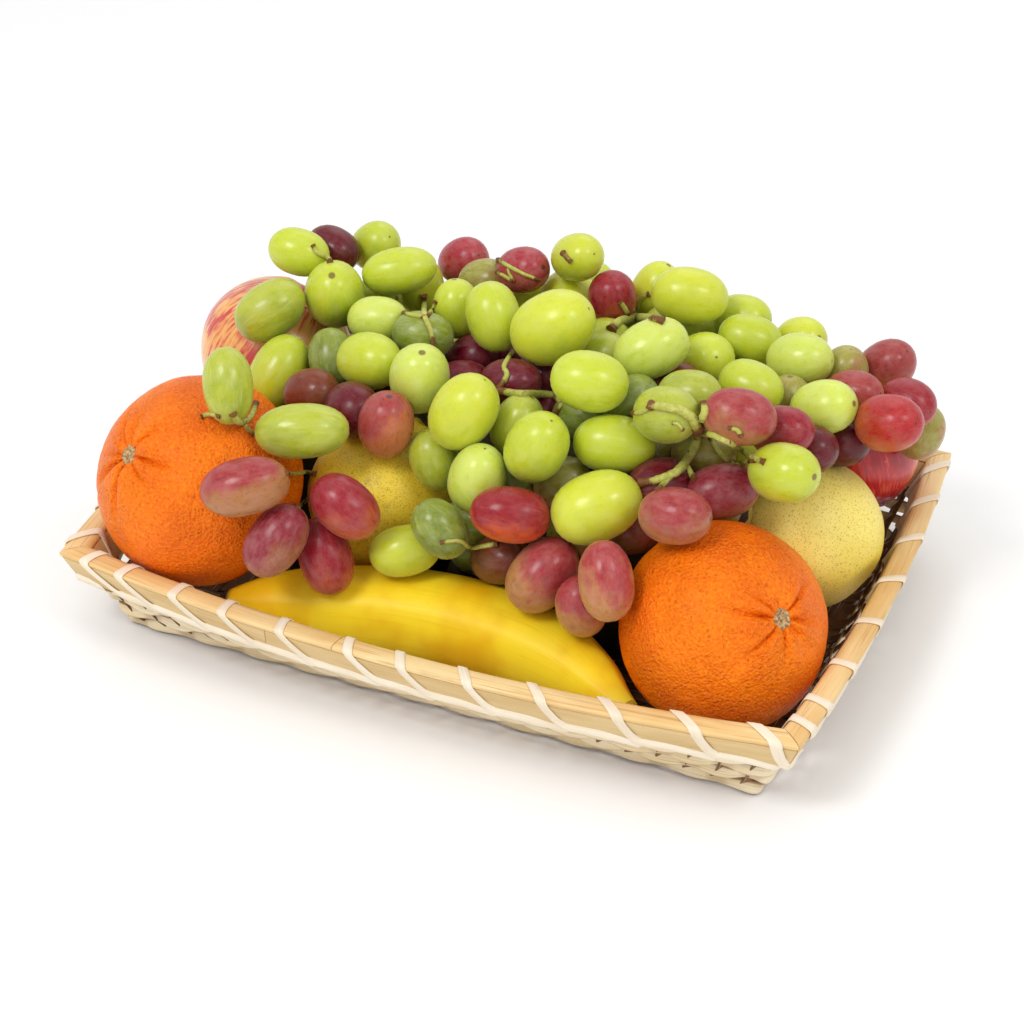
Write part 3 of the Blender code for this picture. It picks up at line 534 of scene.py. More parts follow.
stakePart, weaverPart = wovenTray()
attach(newPiece("trayStakes", stakePart, shadedStakeBamboo, ["woven_tray"], 50), "root")
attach(newPiece("trayWeavers", weaverPart, weaverBamboo, ["woven_tray"], 50), "root")
print("woven tray made")

# Rim: flat bands outside and inside, a half-round strip on top of both
rim = {
    "steps": 60, "mitre": 0.25, "bevel": 0.45, "waviness": 0.18, "jointGap": 0.35, "stripSkirt": 0.35,
    "stripInset": 0.4, "stripArc": 12,
    "scarfs": {0: 98, 2: 205}, "topJoints": {0: 133, 1: 190, 3: 120},
}


# Cross-section corners are (out, up) in millimetres; lean shifts an end with its height, for a slanted joint
def rimLength(side, section, start, end, seed, leanStart=0.0, leanEnd=0.0, deepest=0.0):
    steps = max(4, round(rim["steps"] * (end - start) / (2 * sideHalf(side))))
    rings, strips = [], []
    for k in range(steps + 1):
        share = k / steps
        ring, row = [], []
        for number, (out, up) in enumerate(section):
            lean = (leanStart * (1 - share) + leanEnd * share) * (up - deepest) * mm
            travel = start + (end - start) * share + lean
            wave = rim["waviness"] * mm * noise.noise(Vector((travel * 60, seed * 7.3, number * 0.13)))
            ring.append(sectionPoint(side, travel, out * mm + wave * (1 if out > 0 else -1), up * mm))
            row.append((travel, (out + up) * mm, seed))
        rings.append(ring)
        strips.append(row)
    return partOf(rings, tubeFaces(steps + 1, len(section)), stripPlace=strips)


def boxSection(inner, outer, bottom, top):
    edge = rim["bevel"]
    return [(inner + edge, bottom), (outer - edge, bottom), (outer, bottom + edge), (outer, top - edge),
            (outer - edge, top), (inner + edge, top), (inner, top - edge), (inner, bottom + edge)]


def roundSection(half, bottom, height, flatness):
    inset, skirt, arc = rim["stripInset"], rim["stripSkirt"], rim["stripArc"]
    section = [(-half + inset, bottom), (half - inset, bottom)]
    for k in range(arc + 1):
        turn = math.pi * k / arc
        out = math.copysign(abs(math.cos(turn)) ** flatness, math.cos(turn)) * half
        section.append((out, bottom + skirt + (height - skirt) * math.sin(turn) ** flatness))
    return section


def rimPieces(side):
    half = sideHalf(side)
    first, last = rim["mitre"] * mm, 2 * half - rim["mitre"] * mm
    inside, outside = tray["wall"] / 2 + gap / mm, rimHalf / mm
    outer = boxSection(inside, outside, -tray["outerDrop"], 0)
    inner = boxSection(-outside, -inside, -tray["innerDrop"], 0)
    top = roundSection(outside, gap / mm, tray["topStrip"], 0.62 if side in (0, 2) else 0.8)
    made = []
    for name, section, joint, lean in (
        ("outerBand", outer, rim["scarfs"].get(side), 0.3), ("innerBand", inner, None, 0),
        ("topStrip", top, rim["topJoints"].get(side), 0),
    ):
        seed = luck.uniform(0, 9)
        if joint:
            middle = joint / (tray["depth"] if side % 2 else tray["length"]) * 2 * half
            deepest = -tray["outerDrop"]
            parts = [
                rimLength(side, section, first, middle, seed, 0, lean, deepest),
                rimLength(side, section, middle + rim["jointGap"] * mm, last, seed + 3.1, lean, 0, deepest),
            ]
        else:
            parts = [rimLength(side, section, first, last, seed)]
        made.append((name, joined(parts)))
    return made


nodeKinds = {"outerBand": "outer_band", "innerBand": "inner_band", "topStrip": "top_strip"}
for side, sideName in enumerate(sideNames):
    for kind, part in rimPieces(side):
        material = stripBamboo if kind == "topStrip" else bandBamboo
        node = f"{nodeKinds[kind]}_{sideName.lower()}"
        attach(newPiece(kind + sideName, part, material, [node], 50), "root")

# Lashing: one flat strip wound round the rim
lashing = {
    "width": 3.8, "thickness": 0.5, "clear": 0.2, "overRun": 4.5, "slantRun": 11, "runPast": 13, "tuck": 2.2,
    "corner": 0.9,
    "frontWraps": (9, 27, 54, 78, 105, 136, 159, 187, 217, 247, 277, 308),
    "rightWraps": (8, 24, 52, 85, 119, 153, 186, 216),
}


def wrapsOf(side):
    places = lashing["rightWraps"] if side % 2 else lashing["frontWraps"]
    whole = tray["depth"] if side % 2 else tray["length"]
    return [place / whole * 2 * sideHalf(side) for place in places]


# Stations of the strip: side, travel, out, up, the direction it faces as (out, up), and how far its
# width lies along the rim, which keeps it flat where it folds over an edge
def lashingStations():
    face = rimHalf + lashing["clear"] * mm
    top = gap + (tray["topStrip"] + lashing["clear"]) * mm
    bottom = -(tray["outerDrop"] + lashing["clear"]) * mm
    half = lashing["width"] / 2 * mm
    shoulder = top - lashing["corner"] * 2 * mm
    over, slant, runPast, tuck = (lashing[name] * mm for name in ("overRun", "slantRun", "runPast", "tuck"))
    stations = []
    for side in range(4):
        wraps = wrapsOf(side)
        for number, start in enumerate(wraps):
            last = number == len(wraps) - 1
            goal = (side + 1) % 4 if last else side
            end = wrapsOf(goal)[0] if last else wraps[number + 1]
            room = 2 * sideHalf(side) - start - 0.5 * mm
            lean = min(1, room / (over + slant)) if last else 1
            before = start if number == 0 else start + runPast * 0.5
            for share in np.linspace(0, 1, 8):
                up = bottom + (shoulder - bottom) * share
                stations.append((side, before + (start - before) * share, -face, up, (-1, 0), share))
            for turn in np.radians(np.linspace(15, 165, 13)):
                out, high = -math.cos(turn), math.sin(turn) ** 0.6
                travel, up = start + over * lean * (out + 1) / 2, shoulder + (top - shoulder) * high
                stations.append((side, travel, out * face, up, (out, high), 1))
            for share in np.linspace(0.06, 1, 14):
                travel = start + over * lean + slant * lean * share
                up = shoulder + (bottom + half - shoulder) * (1 - (1 - share) ** 1.6)
                stations.append((side, travel, face, up, (1, 0), min(1, 1.8 * (1 - share))))
            runStart = 0.5 * mm if last else start + over + slant
            runEnd = min(end + (0 if last else runPast) + over, 2 * sideHalf(goal) - 2 * mm)
            for share in np.linspace(0.08, 1, 12):
                travel = runStart + (runEnd - runStart) * share
                up = bottom + half - tuck * max(0, share * 2 - 1)
                stations.append((goal, travel, face - 0.4 * mm * share, up, (1, 0), 0))
            back = end if last else end + runPast * 0.5
            for share in np.linspace(0.15, 1, 6):
                travel, up = runEnd + (back - runEnd) * share, bottom - 0.4 * mm - tuck * (1 - share)
                stations.append((goal, travel, face * (1 - 2 * share), up, (0.3, -1), 0))
    return stations


def rimLashing():
    points, normals, alongs, shares = [], [], [], []
    for side, travel, out, up, (faceOut, faceUp), share in lashingStations():
        point = sectionPoint(side, travel, out, up)
        points.append(point)
        normals.append(sectionPoint(side, travel, out + faceOut * mm, up + faceUp * mm) - point)
        alongs.append(sectionPoint(side, travel + 1 * mm, out, up) - point)
        shares.append(share)
    points = softened(points, 1, True)
    normals = unit(softened(normals, 2, True))
    shares = softened(shares, 1, True)[:, None]
    across = unit(np.cross(normals, unit(np.roll(points, -1, 0) - np.roll(points, 1, 0))))
    across = unit(across * (1 - shares) + unit(softened(alongs, 1, True)) * shares)
    widths = [1 + 0.10 * noise.noise(Vector((k * 0.05, 3, 1))) for k in range(len(points))]
    widths = np.array(widths) * lashing["width"] * mm
    return ribbon(points, normals, widths, lashing["thickness"] * mm, 2.0, 0.05 * mm, True, across)


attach(newPiece("rimLashing", rimLashing(), lashingBamboo, ["rim_lashing"], 50), "root")
print("rim made")

# Whole fruit: place of the middle, radius, and the way that the calyx, neck or stem points
fruit = {
    "orangeLeft": {
        "place": (-117, -70.5, 64), "radius": 44.5, "node": "orange_left",
        "axis": cameraRight * -0.62 + cameraUp * 0.25 + toCamera * 0.74,
    },
    "orangeRight": {
        "place": (111.3, -57.7, 45.5), "radius": 42, "node": "orange_right",
        "axis": cameraRight * 0.51 + cameraUp * 0.13 + toCamera * 0.85,
    },
    "pearLeft": {"place": (-50, -31, 50), "radius": 34, "node": "pear_left", "axis": (0.35, 0.75, 0.35)},
    "pearRight": {"place": (123, 16.5, 48), "radius": 32, "node": "pear_right", "axis": (-0.80, 0.25, 0.30)},
    "appleLeft": {"place": (-137, 32, 71), "radius": 35.5, "node": "apple_left", "axis": (0.45, 0.35, 0.80)},
    "appleRight": {
        "place": (122.5, 79.5, 56.5), "radius": 30.5, "node": "apple_right", "axis": (-0.35, 0.15, 0.92),
    },
}


# Turn a half outline of (radius, height) into a skin of fine rings; shapeIt moves each point
def turnedSkin(outline, radius, rings, sides, shapeIt):
    profile = smoothLine(outline, rings)
    points = []
    for r, z in profile[1:-1]:
        for turn in turnsOf(sides):
            points.append(shapeIt(Vector((r * math.cos(turn), r * math.sin(turn), z)), turn) * radius)
    points += [shapeIt(Vector((0, 0, profile[end][1])), 0) * radius for end in (0, -1)]
    return partOf(points, fanFaces(rings - 2, sides))


# Dips are pairs of depth and reach round the calyx and round the foot; lifts are angles from the calyx
orangeShape = {
    "height": 0.93, "rings": 120, "sides": 180, "grooves": 8, "lumps": 0.012, "wrinkles": 0.005,
    "foldLift": 0.16, "rimLift": 0.07, "rimSlope": 0.13, "calyxDip": (0.06, 0.15), "footDip": (0.03, 0.2),
}


def orangeSkin(radius, seed, folds, foldReach):
    outline = [(0, -orangeShape["height"])]
    for degree in range(-84, 90, 6):
        turn = math.radians(degree)
        outline.append((math.cos(turn), orangeShape["height"] * math.sin(turn)))
    outline.append((0, orangeShape["height"]))

    def dip(kind, lift):
        depth, reach = orangeShape[kind]
        return depth * math.exp(-(lift / reach) ** 2)

    def shapeIt(point, turn):
        lift = math.acos(max(-1, min(1, point.z / max(point.length, 1e-9))))
        uneven = noise.noise(Vector((math.cos(turn), math.sin(turn), seed)) * 1.7)
        fade = math.exp(-(max(lift - orangeShape["foldLift"], 0) / (foldReach * (1 + uneven))) ** 2)
        furrow = 1 - abs(math.sin(turn * orangeShape["grooves"] / 2 + seed + uneven * 1.5 + lift * 0.5))
        near = min(1, max(0, (lift - orangeShape["rimLift"]) / orangeShape["rimSlope"]))
        change = -folds * (furrow ** 2 * 1.5 - 0.4) * fade * near * (1 + uneven)
        change -= dip("calyxDip", lift)
        change -= dip("footDip", math.pi - lift)
        change += orangeShape["lumps"] * noise.noise(point * 2.2 + Vector((seed, 0, 0)))
        change += orangeShape["wrinkles"] * noise.noise(point * 11 + Vector((0, seed, 0)))
        return point * (1 + change)

    return turnedSkin(outline, radius * mm, orangeShape["rings"], orangeShape["sides"], shapeIt)


# Calyx: a small dry button with a ragged rim, and the scar of the stalk in its middle
calyx = {
    "size": 3.9, "sides": 20, "lobes": 5, "lobeDepth": 0.12, "seat": 0.887,
    "radii": (1, 1.02, 0.85, 0.55, 0.42, 0.2), "heights": (-2.5, 0.3, 0.8, 0.6, 0.1, -0.3),
}


def calyxButton(radius, seed):
    rows = len(calyx["radii"])
    points = []
    for row in range(rows):
        for turn in turnsOf(calyx["sides"]):
            lobe = 1 + calyx["lobeDepth"] * math.cos(calyx["lobes"] * turn + seed) * (1 - row / (rows - 1))
            lobe += 0.1 * noise.noise(Vector((turn, seed, 0)) * 2)
            r = calyx["size"] * mm * lobe * calyx["radii"][row]
            height = (radius * calyx["seat"] + calyx["heights"][row]) * mm
            points.append((r * math.cos(turn), r * math.sin(turn), height))
    return partOf(points, tubeFaces(rows, calyx["sides"]))


def orangeMaterial():
    looks = {"peel": (253, 126, 0), "deep": (245, 108, 0), "pitShade": (220, 84, 0), "peakLight": (255, 156, 10)}
    material, tree = newMaterial("orangePeel", {
        "Roughness": 0.40, "Specular IOR Level": 0.2, "Subsurface Weight": 0.06, "Subsurface Scale": 0.002,
        "Subsurface Radius": (1.0, 0.4, 0.1), "Coat Weight": 0.04, "Coat Roughness": 0.3,
    })
    place = readValue(tree, "fruitPlace")
    fine = noiseValue(tree, place, 760.0, 2.0, 0.55)
    pores = dotsMask(tree, place, 420.0, 0.10, 0.7, 0.22)
    base = laidOver(tree, looks["peel"], looks["deep"], noiseValue(tree, place, 26.0, 2.0), 0.35, 0.7)
    # Painted light and shade on the pebbled skin: lighter on its raised bumps, darker in its hollows and its
    # pores
    base = laidOver(tree, base, looks["peakLight"], fine, 0.5, 0.72, 0.45)
    base = laidOver(tree, base, looks["pitShade"], fine, 0.5, 0.3, 0.45)
    base = mixColours(tree, mathNode(tree, "MULTIPLY", pores, 0.45), base, looks["pitShade"])
    cells = addNode(tree, "TexVoronoi", {"Vector": place, "Scale": 820.0, "Randomness": 0.9}).outputs[0]
    wormy = stepNode(tree, noiseValue(tree, place, 55.0, 2.0), 0.35, 0.65, 2.6, 6.0)
    height = weighted(tree, (stepNode(tree, cells, 0.05, 0.55), 0.6), (pores, -0.9), (fine, wormy))
    linkSkin(tree, base, height, 0.8, 0.0005)
    return material


def plainSkin(name, sockets, light, dark, scale, bumpStrength):
    material, tree = newMaterial(name, sockets)
    value = noiseValue(tree, addNode(tree, "TexCoord").outputs["Object"], scale, 4.0, 0.6)
    linkSkin(tree, laidOver(tree, light, dark, value, 0.35, 0.65), value, bumpStrength, 0.0006)
    return material


orangePeel = orangeMaterial()
dryCalyx = plainSkin("dryCalyx", {"Roughness": 0.8}, (206, 172, 122), (126, 92, 52), 900.0, 0.7)
for name, folds, foldReach, seed in (("orangeLeft", 0.055, 0.30, 1.7), ("orangeRight", 0.056, 0.27, 4.2)):
    data = fruit[name]
    place = np.array(data["place"]) * mm
    skin = standing(orangeSkin(data["radius"], seed, folds, foldReach), place, data["axis"])
    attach(newPiece(name, skin, orangePeel, [data["node"]]), "root")
    button = standing(calyxButton(data["radius"], seed), place, data["axis"])
    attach(newPiece(name + "Calyx", button, dryCalyx), "root")
print("oranges made")

# Half outlines as (radius, height): an arc of the fruit's side, between its two ends
def sideArc(first, last, wide, high, aside=0.0):
    turns = [math.radians(degree) for degree in range(first, last, 13)]
    return [(math.cos(turn) * wide + aside, high * math.sin(turn)) for turn in turns]


pearOutline = [(0, -0.90), (0.16, -0.91), (0.34, -0.905), *sideArc(-60, 32, 1, 0.97)]
pearOutline += [(0.70, 0.76), (0.50, 1.00), (0.36, 1.14), (0.20, 1.21), (0, 1.20)]
appleOutline = [(0, -0.78), (0.10, -0.80), (0.20, -0.86), (0.36, -0.90), *sideArc(-52, 53, 0.99, 0.94, 0.01)]
appleOutline += [(0.42, 0.86), (0.24, 0.79), (0.10, 0.68), (0, 0.62)]
fruitRings = {"pear": 70, "apple": 76}
fruitSides = 96


def pearSkin(radius, seed):
    def shapeIt(point, turn):
        lumps = 0.018 * noise.noise(point * 1.7 + Vector((seed, 0, 0)))
        return point * (1 + lumps + 0.002 * noise.noise(point * 14))
    return turnedSkin(pearOutline, radius * mm, fruitRings["pear"], fruitSides, shapeIt)


def appleSkin(radius, seed):
    def shapeIt(point, turn):
        ribs = 0.018 * math.cos(5 * turn + seed) * abs(point.z)
        return point * (1 + ribs + 0.012 * noise.noise(point * 1.6 + Vector((0, seed, 0))))
    return turnedSkin(appleOutline, radius * mm, fruitRings["apple"], fruitSides, shapeIt)


# Pear skin: fine brown lenticels over yellow, with a greenish flush
def pearMaterial(name, looks):
    material, tree = newMaterial(name, {
        "Roughness": 0.42, "Specular IOR Level": 0.4, "Subsurface Weight": 0.12, "Subsurface Scale": 0.003,
    })
    place = readValue(tree, "fruitPlace")
    cloud = noiseValue(tree, place, 150.0, 4.0, 0.7)
    flush = noiseValue(tree, place, looks["flushScale"], 2.0)
    base = laidOver(tree, looks["light"], looks["flush"], flush, 0.42, 0.68)
    base = laidOver(tree, base, looks["cloud"], cloud, 0.5, 0.75, looks["clouds"])
    small = dotsMask(tree, place, looks["dotsPerMetre"], looks["dotSize"], looks["dotShare"], 0.12)
    large = dotsMask(tree, place, looks["dotsPerMetre"] * 0.45, looks["dotSize"] * 0.8, 0.3, 0.08)
    dots = mathNode(tree, "MULTIPLY", mathNode(tree, "MAXIMUM", small, large), looks["dotStrength"])
    base = mixColours(tree, dots, base, looks["dot"])
    linkSkin(tree, base, mathNode(tree, "ADD", cloud, dots), 0.25, 0.0002)
    return material


# Apple skin: red streaks from stem to eye over yellow, with pale lenticels
def appleMaterial(name, looks):
    material, tree = newMaterial(name, {
        "Roughness": 0.26, "Specular IOR Level": 0.5, "Coat Weight": 0.35, "Coat Roughness": 0.12,
        "Subsurface Weight": 0.08, "Subsurface Scale": 0.002,
    })
    place = readValue(tree, "fruitPlace")
    broad = meridians(tree, place, 2.2, 0.9, looks["seed"])
    fine = meridians(tree, place, looks["streaks"], 0.14, looks["seed"] + 2)
    cover = weighted(tree, (broad, 0.55), (fine, 0.75), (noiseValue(tree, place, 42.0, 3.0, 0.6), 0.35))
    base = laidOver(tree, looks["under"], looks["red"], cover, looks["cover"], looks["cover"] + 0.16)
    base = laidOver(tree, base, looks["deep"], cover, looks["cover"] + 0.14, looks["cover"] + 0.34, 0.85)
    dots = dotsMask(tree, place, 210.0, 0.045, 0.5, 0.05)
    linkSkin(tree, mixColours(tree, mathNode(tree, "MULTIPLY", dots, 0.6), base, looks["dot"]))
    return material


pearLooks = {
    "pearLeft": {
        "light": (252, 220, 60), "flush": (224, 192, 48), "flushScale": 22.0, "cloud": (150, 128, 40),
        "clouds": 0.35, "dotsPerMetre": 1500.0, "dotSize": 0.28, "dotShare": 0.95, "dotStrength": 0.5,
        "dot": (128, 96, 26),
    },
    "pearRight": {
        "light": (252, 232, 122), "flush": (238, 214, 84), "flushScale": 16.0, "cloud": (236, 200, 100),
        "clouds": 0.3, "dotsPerMetre": 1300.0, "dotSize": 0.28, "dotShare": 0.9, "dotStrength": 0.5,
        "dot": (166, 128, 52),
    },
}
appleLooks = {
    "appleLeft": {
        "under": (240, 180, 100), "red": (208, 70, 66), "deep": (176, 40, 56), "dot": (250, 214, 170),
        "streaks": 20.0, "cover": 0.78, "seed": 3.0,
    },
    "appleRight": {
        "under": (226, 100, 76), "red": (196, 38, 46), "deep": (160, 16, 34), "dot": (226, 150, 130),
        "streaks": 24.0, "cover": 0.62, "seed": 8.0,
    },
}
for allLooks, makeSkin, makeMaterial, slot in (
    (pearLooks, pearSkin, pearMaterial, "pear_skin"), (appleLooks, appleSkin, appleMaterial, "apple_skin"),
):
    for name, looks in allLooks.items():
        data = fruit[name]
        part = standing(makeSkin(data["radius"], len(name)), np.array(data["place"]) * mm, data["axis"])
        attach(newPiece(name, part, makeMaterial(name + "Skin", looks), [data["node"]]), "root")
print("pears and apples made")

# Banana: middle line from tip to stem end, and its radius at each point
banana = {
    "line": (
        (-93, -95), (-77, -90), (-54, -81), (-20, -72), (15, -70), (45, -75), (66, -84), (80, -93), (87, -97),
    ),
    "radius": (5, 12, 16.5, 18.8, 19.2, 17, 12.5, 7.5, 5),
    "height": 24, "rings": 130, "sides": 60, "ridge": 0.028,
}


def bananaSkin():
    count, sides = banana["rings"], banana["sides"]
    line = smoothLine([(x, y, banana["height"]) for x, y in banana["line"]], count) * mm
    radii = smoothLine(banana["radius"], count) * mm
    heading = unit(np.gradient(line, axis=0))
    across = unit(np.cross((0, 0, 1), heading))
    points, values = [], []
    for k in range(count):
        for turn in turnsOf(sides):
            ridge = 1 + banana["ridge"] * (1 - abs(math.sin(2.5 * turn + 0.3)) * 2) * 0.8
            ridge += 0.008 * noise.noise(Vector((k * 0.06, math.cos(turn) * 1.5, math.sin(turn) * 1.5)))
            way = across[k] * math.cos(turn) + np.array((0, 0, 1)) * math.sin(turn)
            points.append(line[k] + way * radii[k] * ridge)
            values.append((k / (count - 1), turn / (2 * math.pi), math.sin(2.5 * turn + 0.3)))
    return partOf(points, tubeFaces(count, sides), peelPlace=values)


def bananaMaterial():
    looks = {"peel": (253, 220, 40), "shade": (234, 180, 14), "green": (196, 188, 60), "brown": (120, 74, 28),
             "tip": (70, 50, 30)}
    material, tree = newMaterial("bananaPeel", {
        "Roughness": 0.42, "Specular IOR Level": 0.25, "Subsurface Weight": 0.12, "Subsurface Scale": 0.003,
    })
    place = readValue(tree, "peelPlace")
    along = axesOf(tree, place)[0]
    room = addNode(tree, "TexCoord").outputs["Object"]
    longWay = noiseValue(tree, vectorMath(tree, "MULTIPLY", place, (1.2, 16, 0)), 4.0, 4.0, 0.6)
    scratches = noiseValue(tree, vectorMath(tree, "MULTIPLY", room, (1, 1, 3)), 260.0, 5.0, 0.7)
    base = laidOver(tree, looks["peel"], looks["shade"], noiseValue(tree, room, 34.0, 3.0), 0.40, 0.72)
    for colour, value, low, high, most in (
        ("shade", longWay, 0.5, 0.8, 0.45), ("green", along, 0.80, 1.0, 0.6),
        ("shade", along, 0.22, 0.02, 0.55), ("brown", scratches, 0.70, 0.80, 0.5),
    ):
        base = laidOver(tree, base, looks[colour], value, low, high, most)
    flecks = dotsMask(tree, room, 130.0, 0.03, 0.35, 0.04)
    base = mixColours(tree, mathNode(tree, "MULTIPLY", flecks, 0.75), base, looks["brown"])
    base = laidOver(tree, base, looks["tip"], along, 0.035, 0.0)
    linkSkin(tree, base, longWay, 0.2, 0.0003)
    return material


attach(newPiece("banana", bananaSkin(), bananaMaterial(), ["banana"], 70), "root")
print("banana made")

# Berries in sight: pixel of the middle, long and short width in pixels, tilt in degrees,
# how many millimetres it lies below the heap's skin, and its tone
greenBerries = (
    (299, 252, 62, 47, -17, 0, "lime"), (375, 246, 53, 48, 20, 8, "lime"),
    (334, 295, 64, 61, 90, 0, "lime"), (272, 311, 76, 56, 35, 0, "leaf"),
    (277, 373, 85, 57, 62, -5, "lime"), (228, 386, 78, 48, 95, 0, "leaf"), (302, 431, 95, 55, 3, 0, "leaf"),
    (332, 359, 64, 44, 98, 6, "moss"), (378, 320, 62, 48, -5, 6, "pale"),
    (370, 361, 67, 58, -12, 0, "lime"), (399, 271, 75, 46, 10, -2, "lime"),
    (419, 285, 59, 50, 100, 0, "bright"), (419, 378, 68, 61, 80, 0, "pale"),
    (464, 415, 80, 64, 55, 0, "bright"), (457, 309, 58, 46, 95, 0, "lime"),
    (494, 317, 71, 53, 103, 4, "lime"), (552, 328, 86, 71, 25, -5, "bright"),
    (571, 309, 80, 62, 105, 18, "bright"), (533, 297, 52, 45, 30, 12, "lime"),
    (578, 258, 52, 48, 0, 0, "bright"), (590, 283, 40, 36, 0, 24, "lime"),
    (655, 289, 55, 45, 60, 10, "bright"), (690, 296, 77, 57, -8, 0, "bright"),
    (652, 353, 78, 58, 25, -3, "pale"), (705, 360, 58, 57, 0, 0, "lime"),
    (749, 340, 66, 50, -15, 0, "lime"), (742, 318, 50, 40, -10, 10, "lime"),
    (802, 363, 64, 52, -5, 0, "pale"), (801, 340, 44, 41, 0, 12, "bright"),
    (823, 413, 64, 54, 5, -5, "pale"), (751, 387, 66, 52, -25, 0, "lime"),
    (666, 415, 64, 57, -10, 0, "leaf"), (615, 443, 85, 60, -5, 0, "lime"),
    (596, 507, 94, 70, 22, 0, "bright"), (784, 472, 68, 59, -10, 0, "lime"),
    (748, 448, 40, 34, 0, 10, "lime"), (631, 401, 50, 42, 45, 6, "moss"),
    (590, 382, 78, 60, -12, 0, "lime"), (582, 416, 40, 34, 0, 8, "moss"), (517, 424, 58, 46, 60, 0, "leaf"),
    (536, 447, 72, 62, 60, 0, "lime"), (477, 476, 70, 58, 75, 0, "pale"),
    (434, 459, 58, 46, 110, 0, "leaf"), (440, 529, 62, 48, 130, 0, "moss"),
    (405, 551, 72, 52, 10, 0, "bright"), (481, 551, 40, 32, 0, 8, "moss"), (473, 522, 44, 36, 0, 8, "moss"),
    (423, 335, 56, 42, -10, 10, "moss"), (602, 341, 50, 42, 0, 8, "leaf"),
    (602, 355, 40, 34, 0, 12, "leaf"), (689, 395, 50, 40, 0, 8, "leaf"), (670, 326, 58, 46, 10, 15, "leaf"),
    (712, 330, 58, 46, -10, 13, "leaf"), (376, 300, 52, 44, 0, 18, "leaf"),
    (636, 318, 50, 42, 0, 20, "moss"),
)
redBerries = (
    (333, 249, 50, 40, -30, 8, "wine"), (464, 261, 52, 48, 10, 6, "pink"), (523, 270, 48, 42, 0, 6, "pink"),
    (612, 298, 54, 49, 100, 0, "crimson"), (881, 372, 60, 53, 40, 0, "copper"),
    (907, 403, 48, 42, -30, 10, "crimson"), (886, 423, 62, 56, -5, 0, "scarlet"),
    (854, 395, 40, 34, 0, 12, "copper"), (740, 417, 73, 56, -10, 0, "rosy"),
    (783, 433, 48, 40, 0, 14, "crimson"), (839, 446, 46, 40, 0, 15, "wine"),
    (809, 444, 40, 36, 0, 18, "wine"), (675, 516, 73, 58, -5, 0, "rosy"),
    (722, 494, 76, 56, 10, 8, "mauve"), (704, 455, 54, 42, 0, 10, "olive"),
    (387, 425, 66, 56, 80, 0, "copper"), (511, 515, 80, 56, -8, 0, "twoTone"),
    (542, 574, 84, 62, 50, 0, "blush"), (606, 581, 82, 56, 97, 0, "blush"),
    (501, 561, 44, 36, 0, 6, "russet"), (632, 530, 50, 44, 0, 8, "russet"),
    (245, 487, 90, 58, 12, 0, "rosy"), (276, 540, 80, 56, 55, 0, "mauve"),
    (325, 556, 80, 54, 105, 0, "crimson"), (345, 507, 76, 56, -40, 0, "crimson"),
    (312, 393, 58, 50, 0, 8, "russet"), (472, 358, 52, 46, 20, 28, "magenta"),
    (462, 384, 44, 36, 0, 28, "magenta"), (507, 361, 50, 44, 0, 28, "magenta"),
    (540, 376, 50, 44, 0, 28, "magenta"), (511, 382, 50, 40, 0, 30, "magenta"),
)
mixedBerries = (
    (485, 281, 40, 34, 0, 6, "olive"), (844, 373, 45, 38, 80, 6, "olive"),
    (919, 431, 54, 47, 75, 0, "olive"), (790, 403, 42, 34, 90, 6, "olive"),
    (581, 606, 50, 42, 100, 8, "blush"), (562, 483, 52, 44, 30, 8, "olive"),
    (673, 382, 44, 38, 0, 8, "russet"),
)
# Tones: the main colour, the colour that clouds over it, the share of the clouds and of the waxy bloom
tones = {
    "lime": ((195, 206, 46), (178, 194, 42), 0.35, 0.10),
    "leaf": ((176, 184, 46), (154, 166, 42), 0.45, 0.12),
    "bright": ((206, 212, 52), (192, 202, 44), 0.3, 0.08),
    "pale": ((204, 216, 88), (188, 204, 72), 0.4, 0.16),
    # moss: a darker tone for berries deep in the heap's gaps, partly their own colour, partly painted shade
    "moss": ((136, 148, 40), (112, 126, 36), 0.6, 0.16),
    "olive": ((156, 146, 56), (160, 104, 54), 0.5, 0.16), "wine": ((100, 14, 28), (86, 18, 24), 0.6, 0.06),
    "pink": ((166, 48, 60), (178, 84, 66), 0.6, 0.18),
    "crimson": ((148, 28, 42), (176, 82, 48), 0.55, 0.12),
    "scarlet": ((174, 38, 40), (188, 84, 42), 0.5, 0.12),
    "copper": ((158, 60, 58), (190, 110, 62), 0.6, 0.14),
    "rosy": ((160, 54, 56), (168, 112, 62), 0.6, 0.16), "mauve": ((136, 36, 50), (152, 92, 62), 0.4, 0.18),
    "russet": ((118, 52, 26), (114, 74, 28), 0.5, 0.08),
    "twoTone": ((150, 24, 34), (200, 78, 30), 0.6, 0.08),
    "blush": ((164, 54, 58), (184, 130, 74), 0.78, 0.14),
    # magenta: a darker tone for berries deep in the heap's gaps, partly their own colour, partly painted
    # shade
    "magenta": ((104, 10, 34), (86, 10, 28), 0.5, 0.06),
}
berry = {
    "short": (20.5, 30.0), "longest": 38.5, "stretch": 1.3, "clear": 0.3, "fruitClear": 1, "mostHidden": 0.42,
    "reach": (700, 1100), "sides": 26, "rings": 17, "blunt": 2.25, "wide": 2.05, "ends": (-0.985, 0.995),
    "taper": 0.05, "flat": 0.02, "shades": (0.94, 1.05),
}
dome = {"middleY": 12, "halfX": 158, "front": 78, "back": 98, "foot": 30, "rise": 85, "outermost": 1.15}


# Below 1 inside the heap's dome, above 1 outside
def domeMeasure(places):
    places = np.asarray(places) / mm
    halfY = np.where(places[..., 1] < dome["middleY"], dome["front"], dome["back"])
    inward = (places[..., 1] - dome["middleY"]) / halfY
    rise = np.maximum(places[..., 2] - dome["foot"], 0) / dome["rise"]
    return (places[..., 0] / dome["halfX"]) ** 4 + inward ** 2 + rise ** 2


domeFoot = np.array((0, dome["middleY"], dome["foot"])) * mm


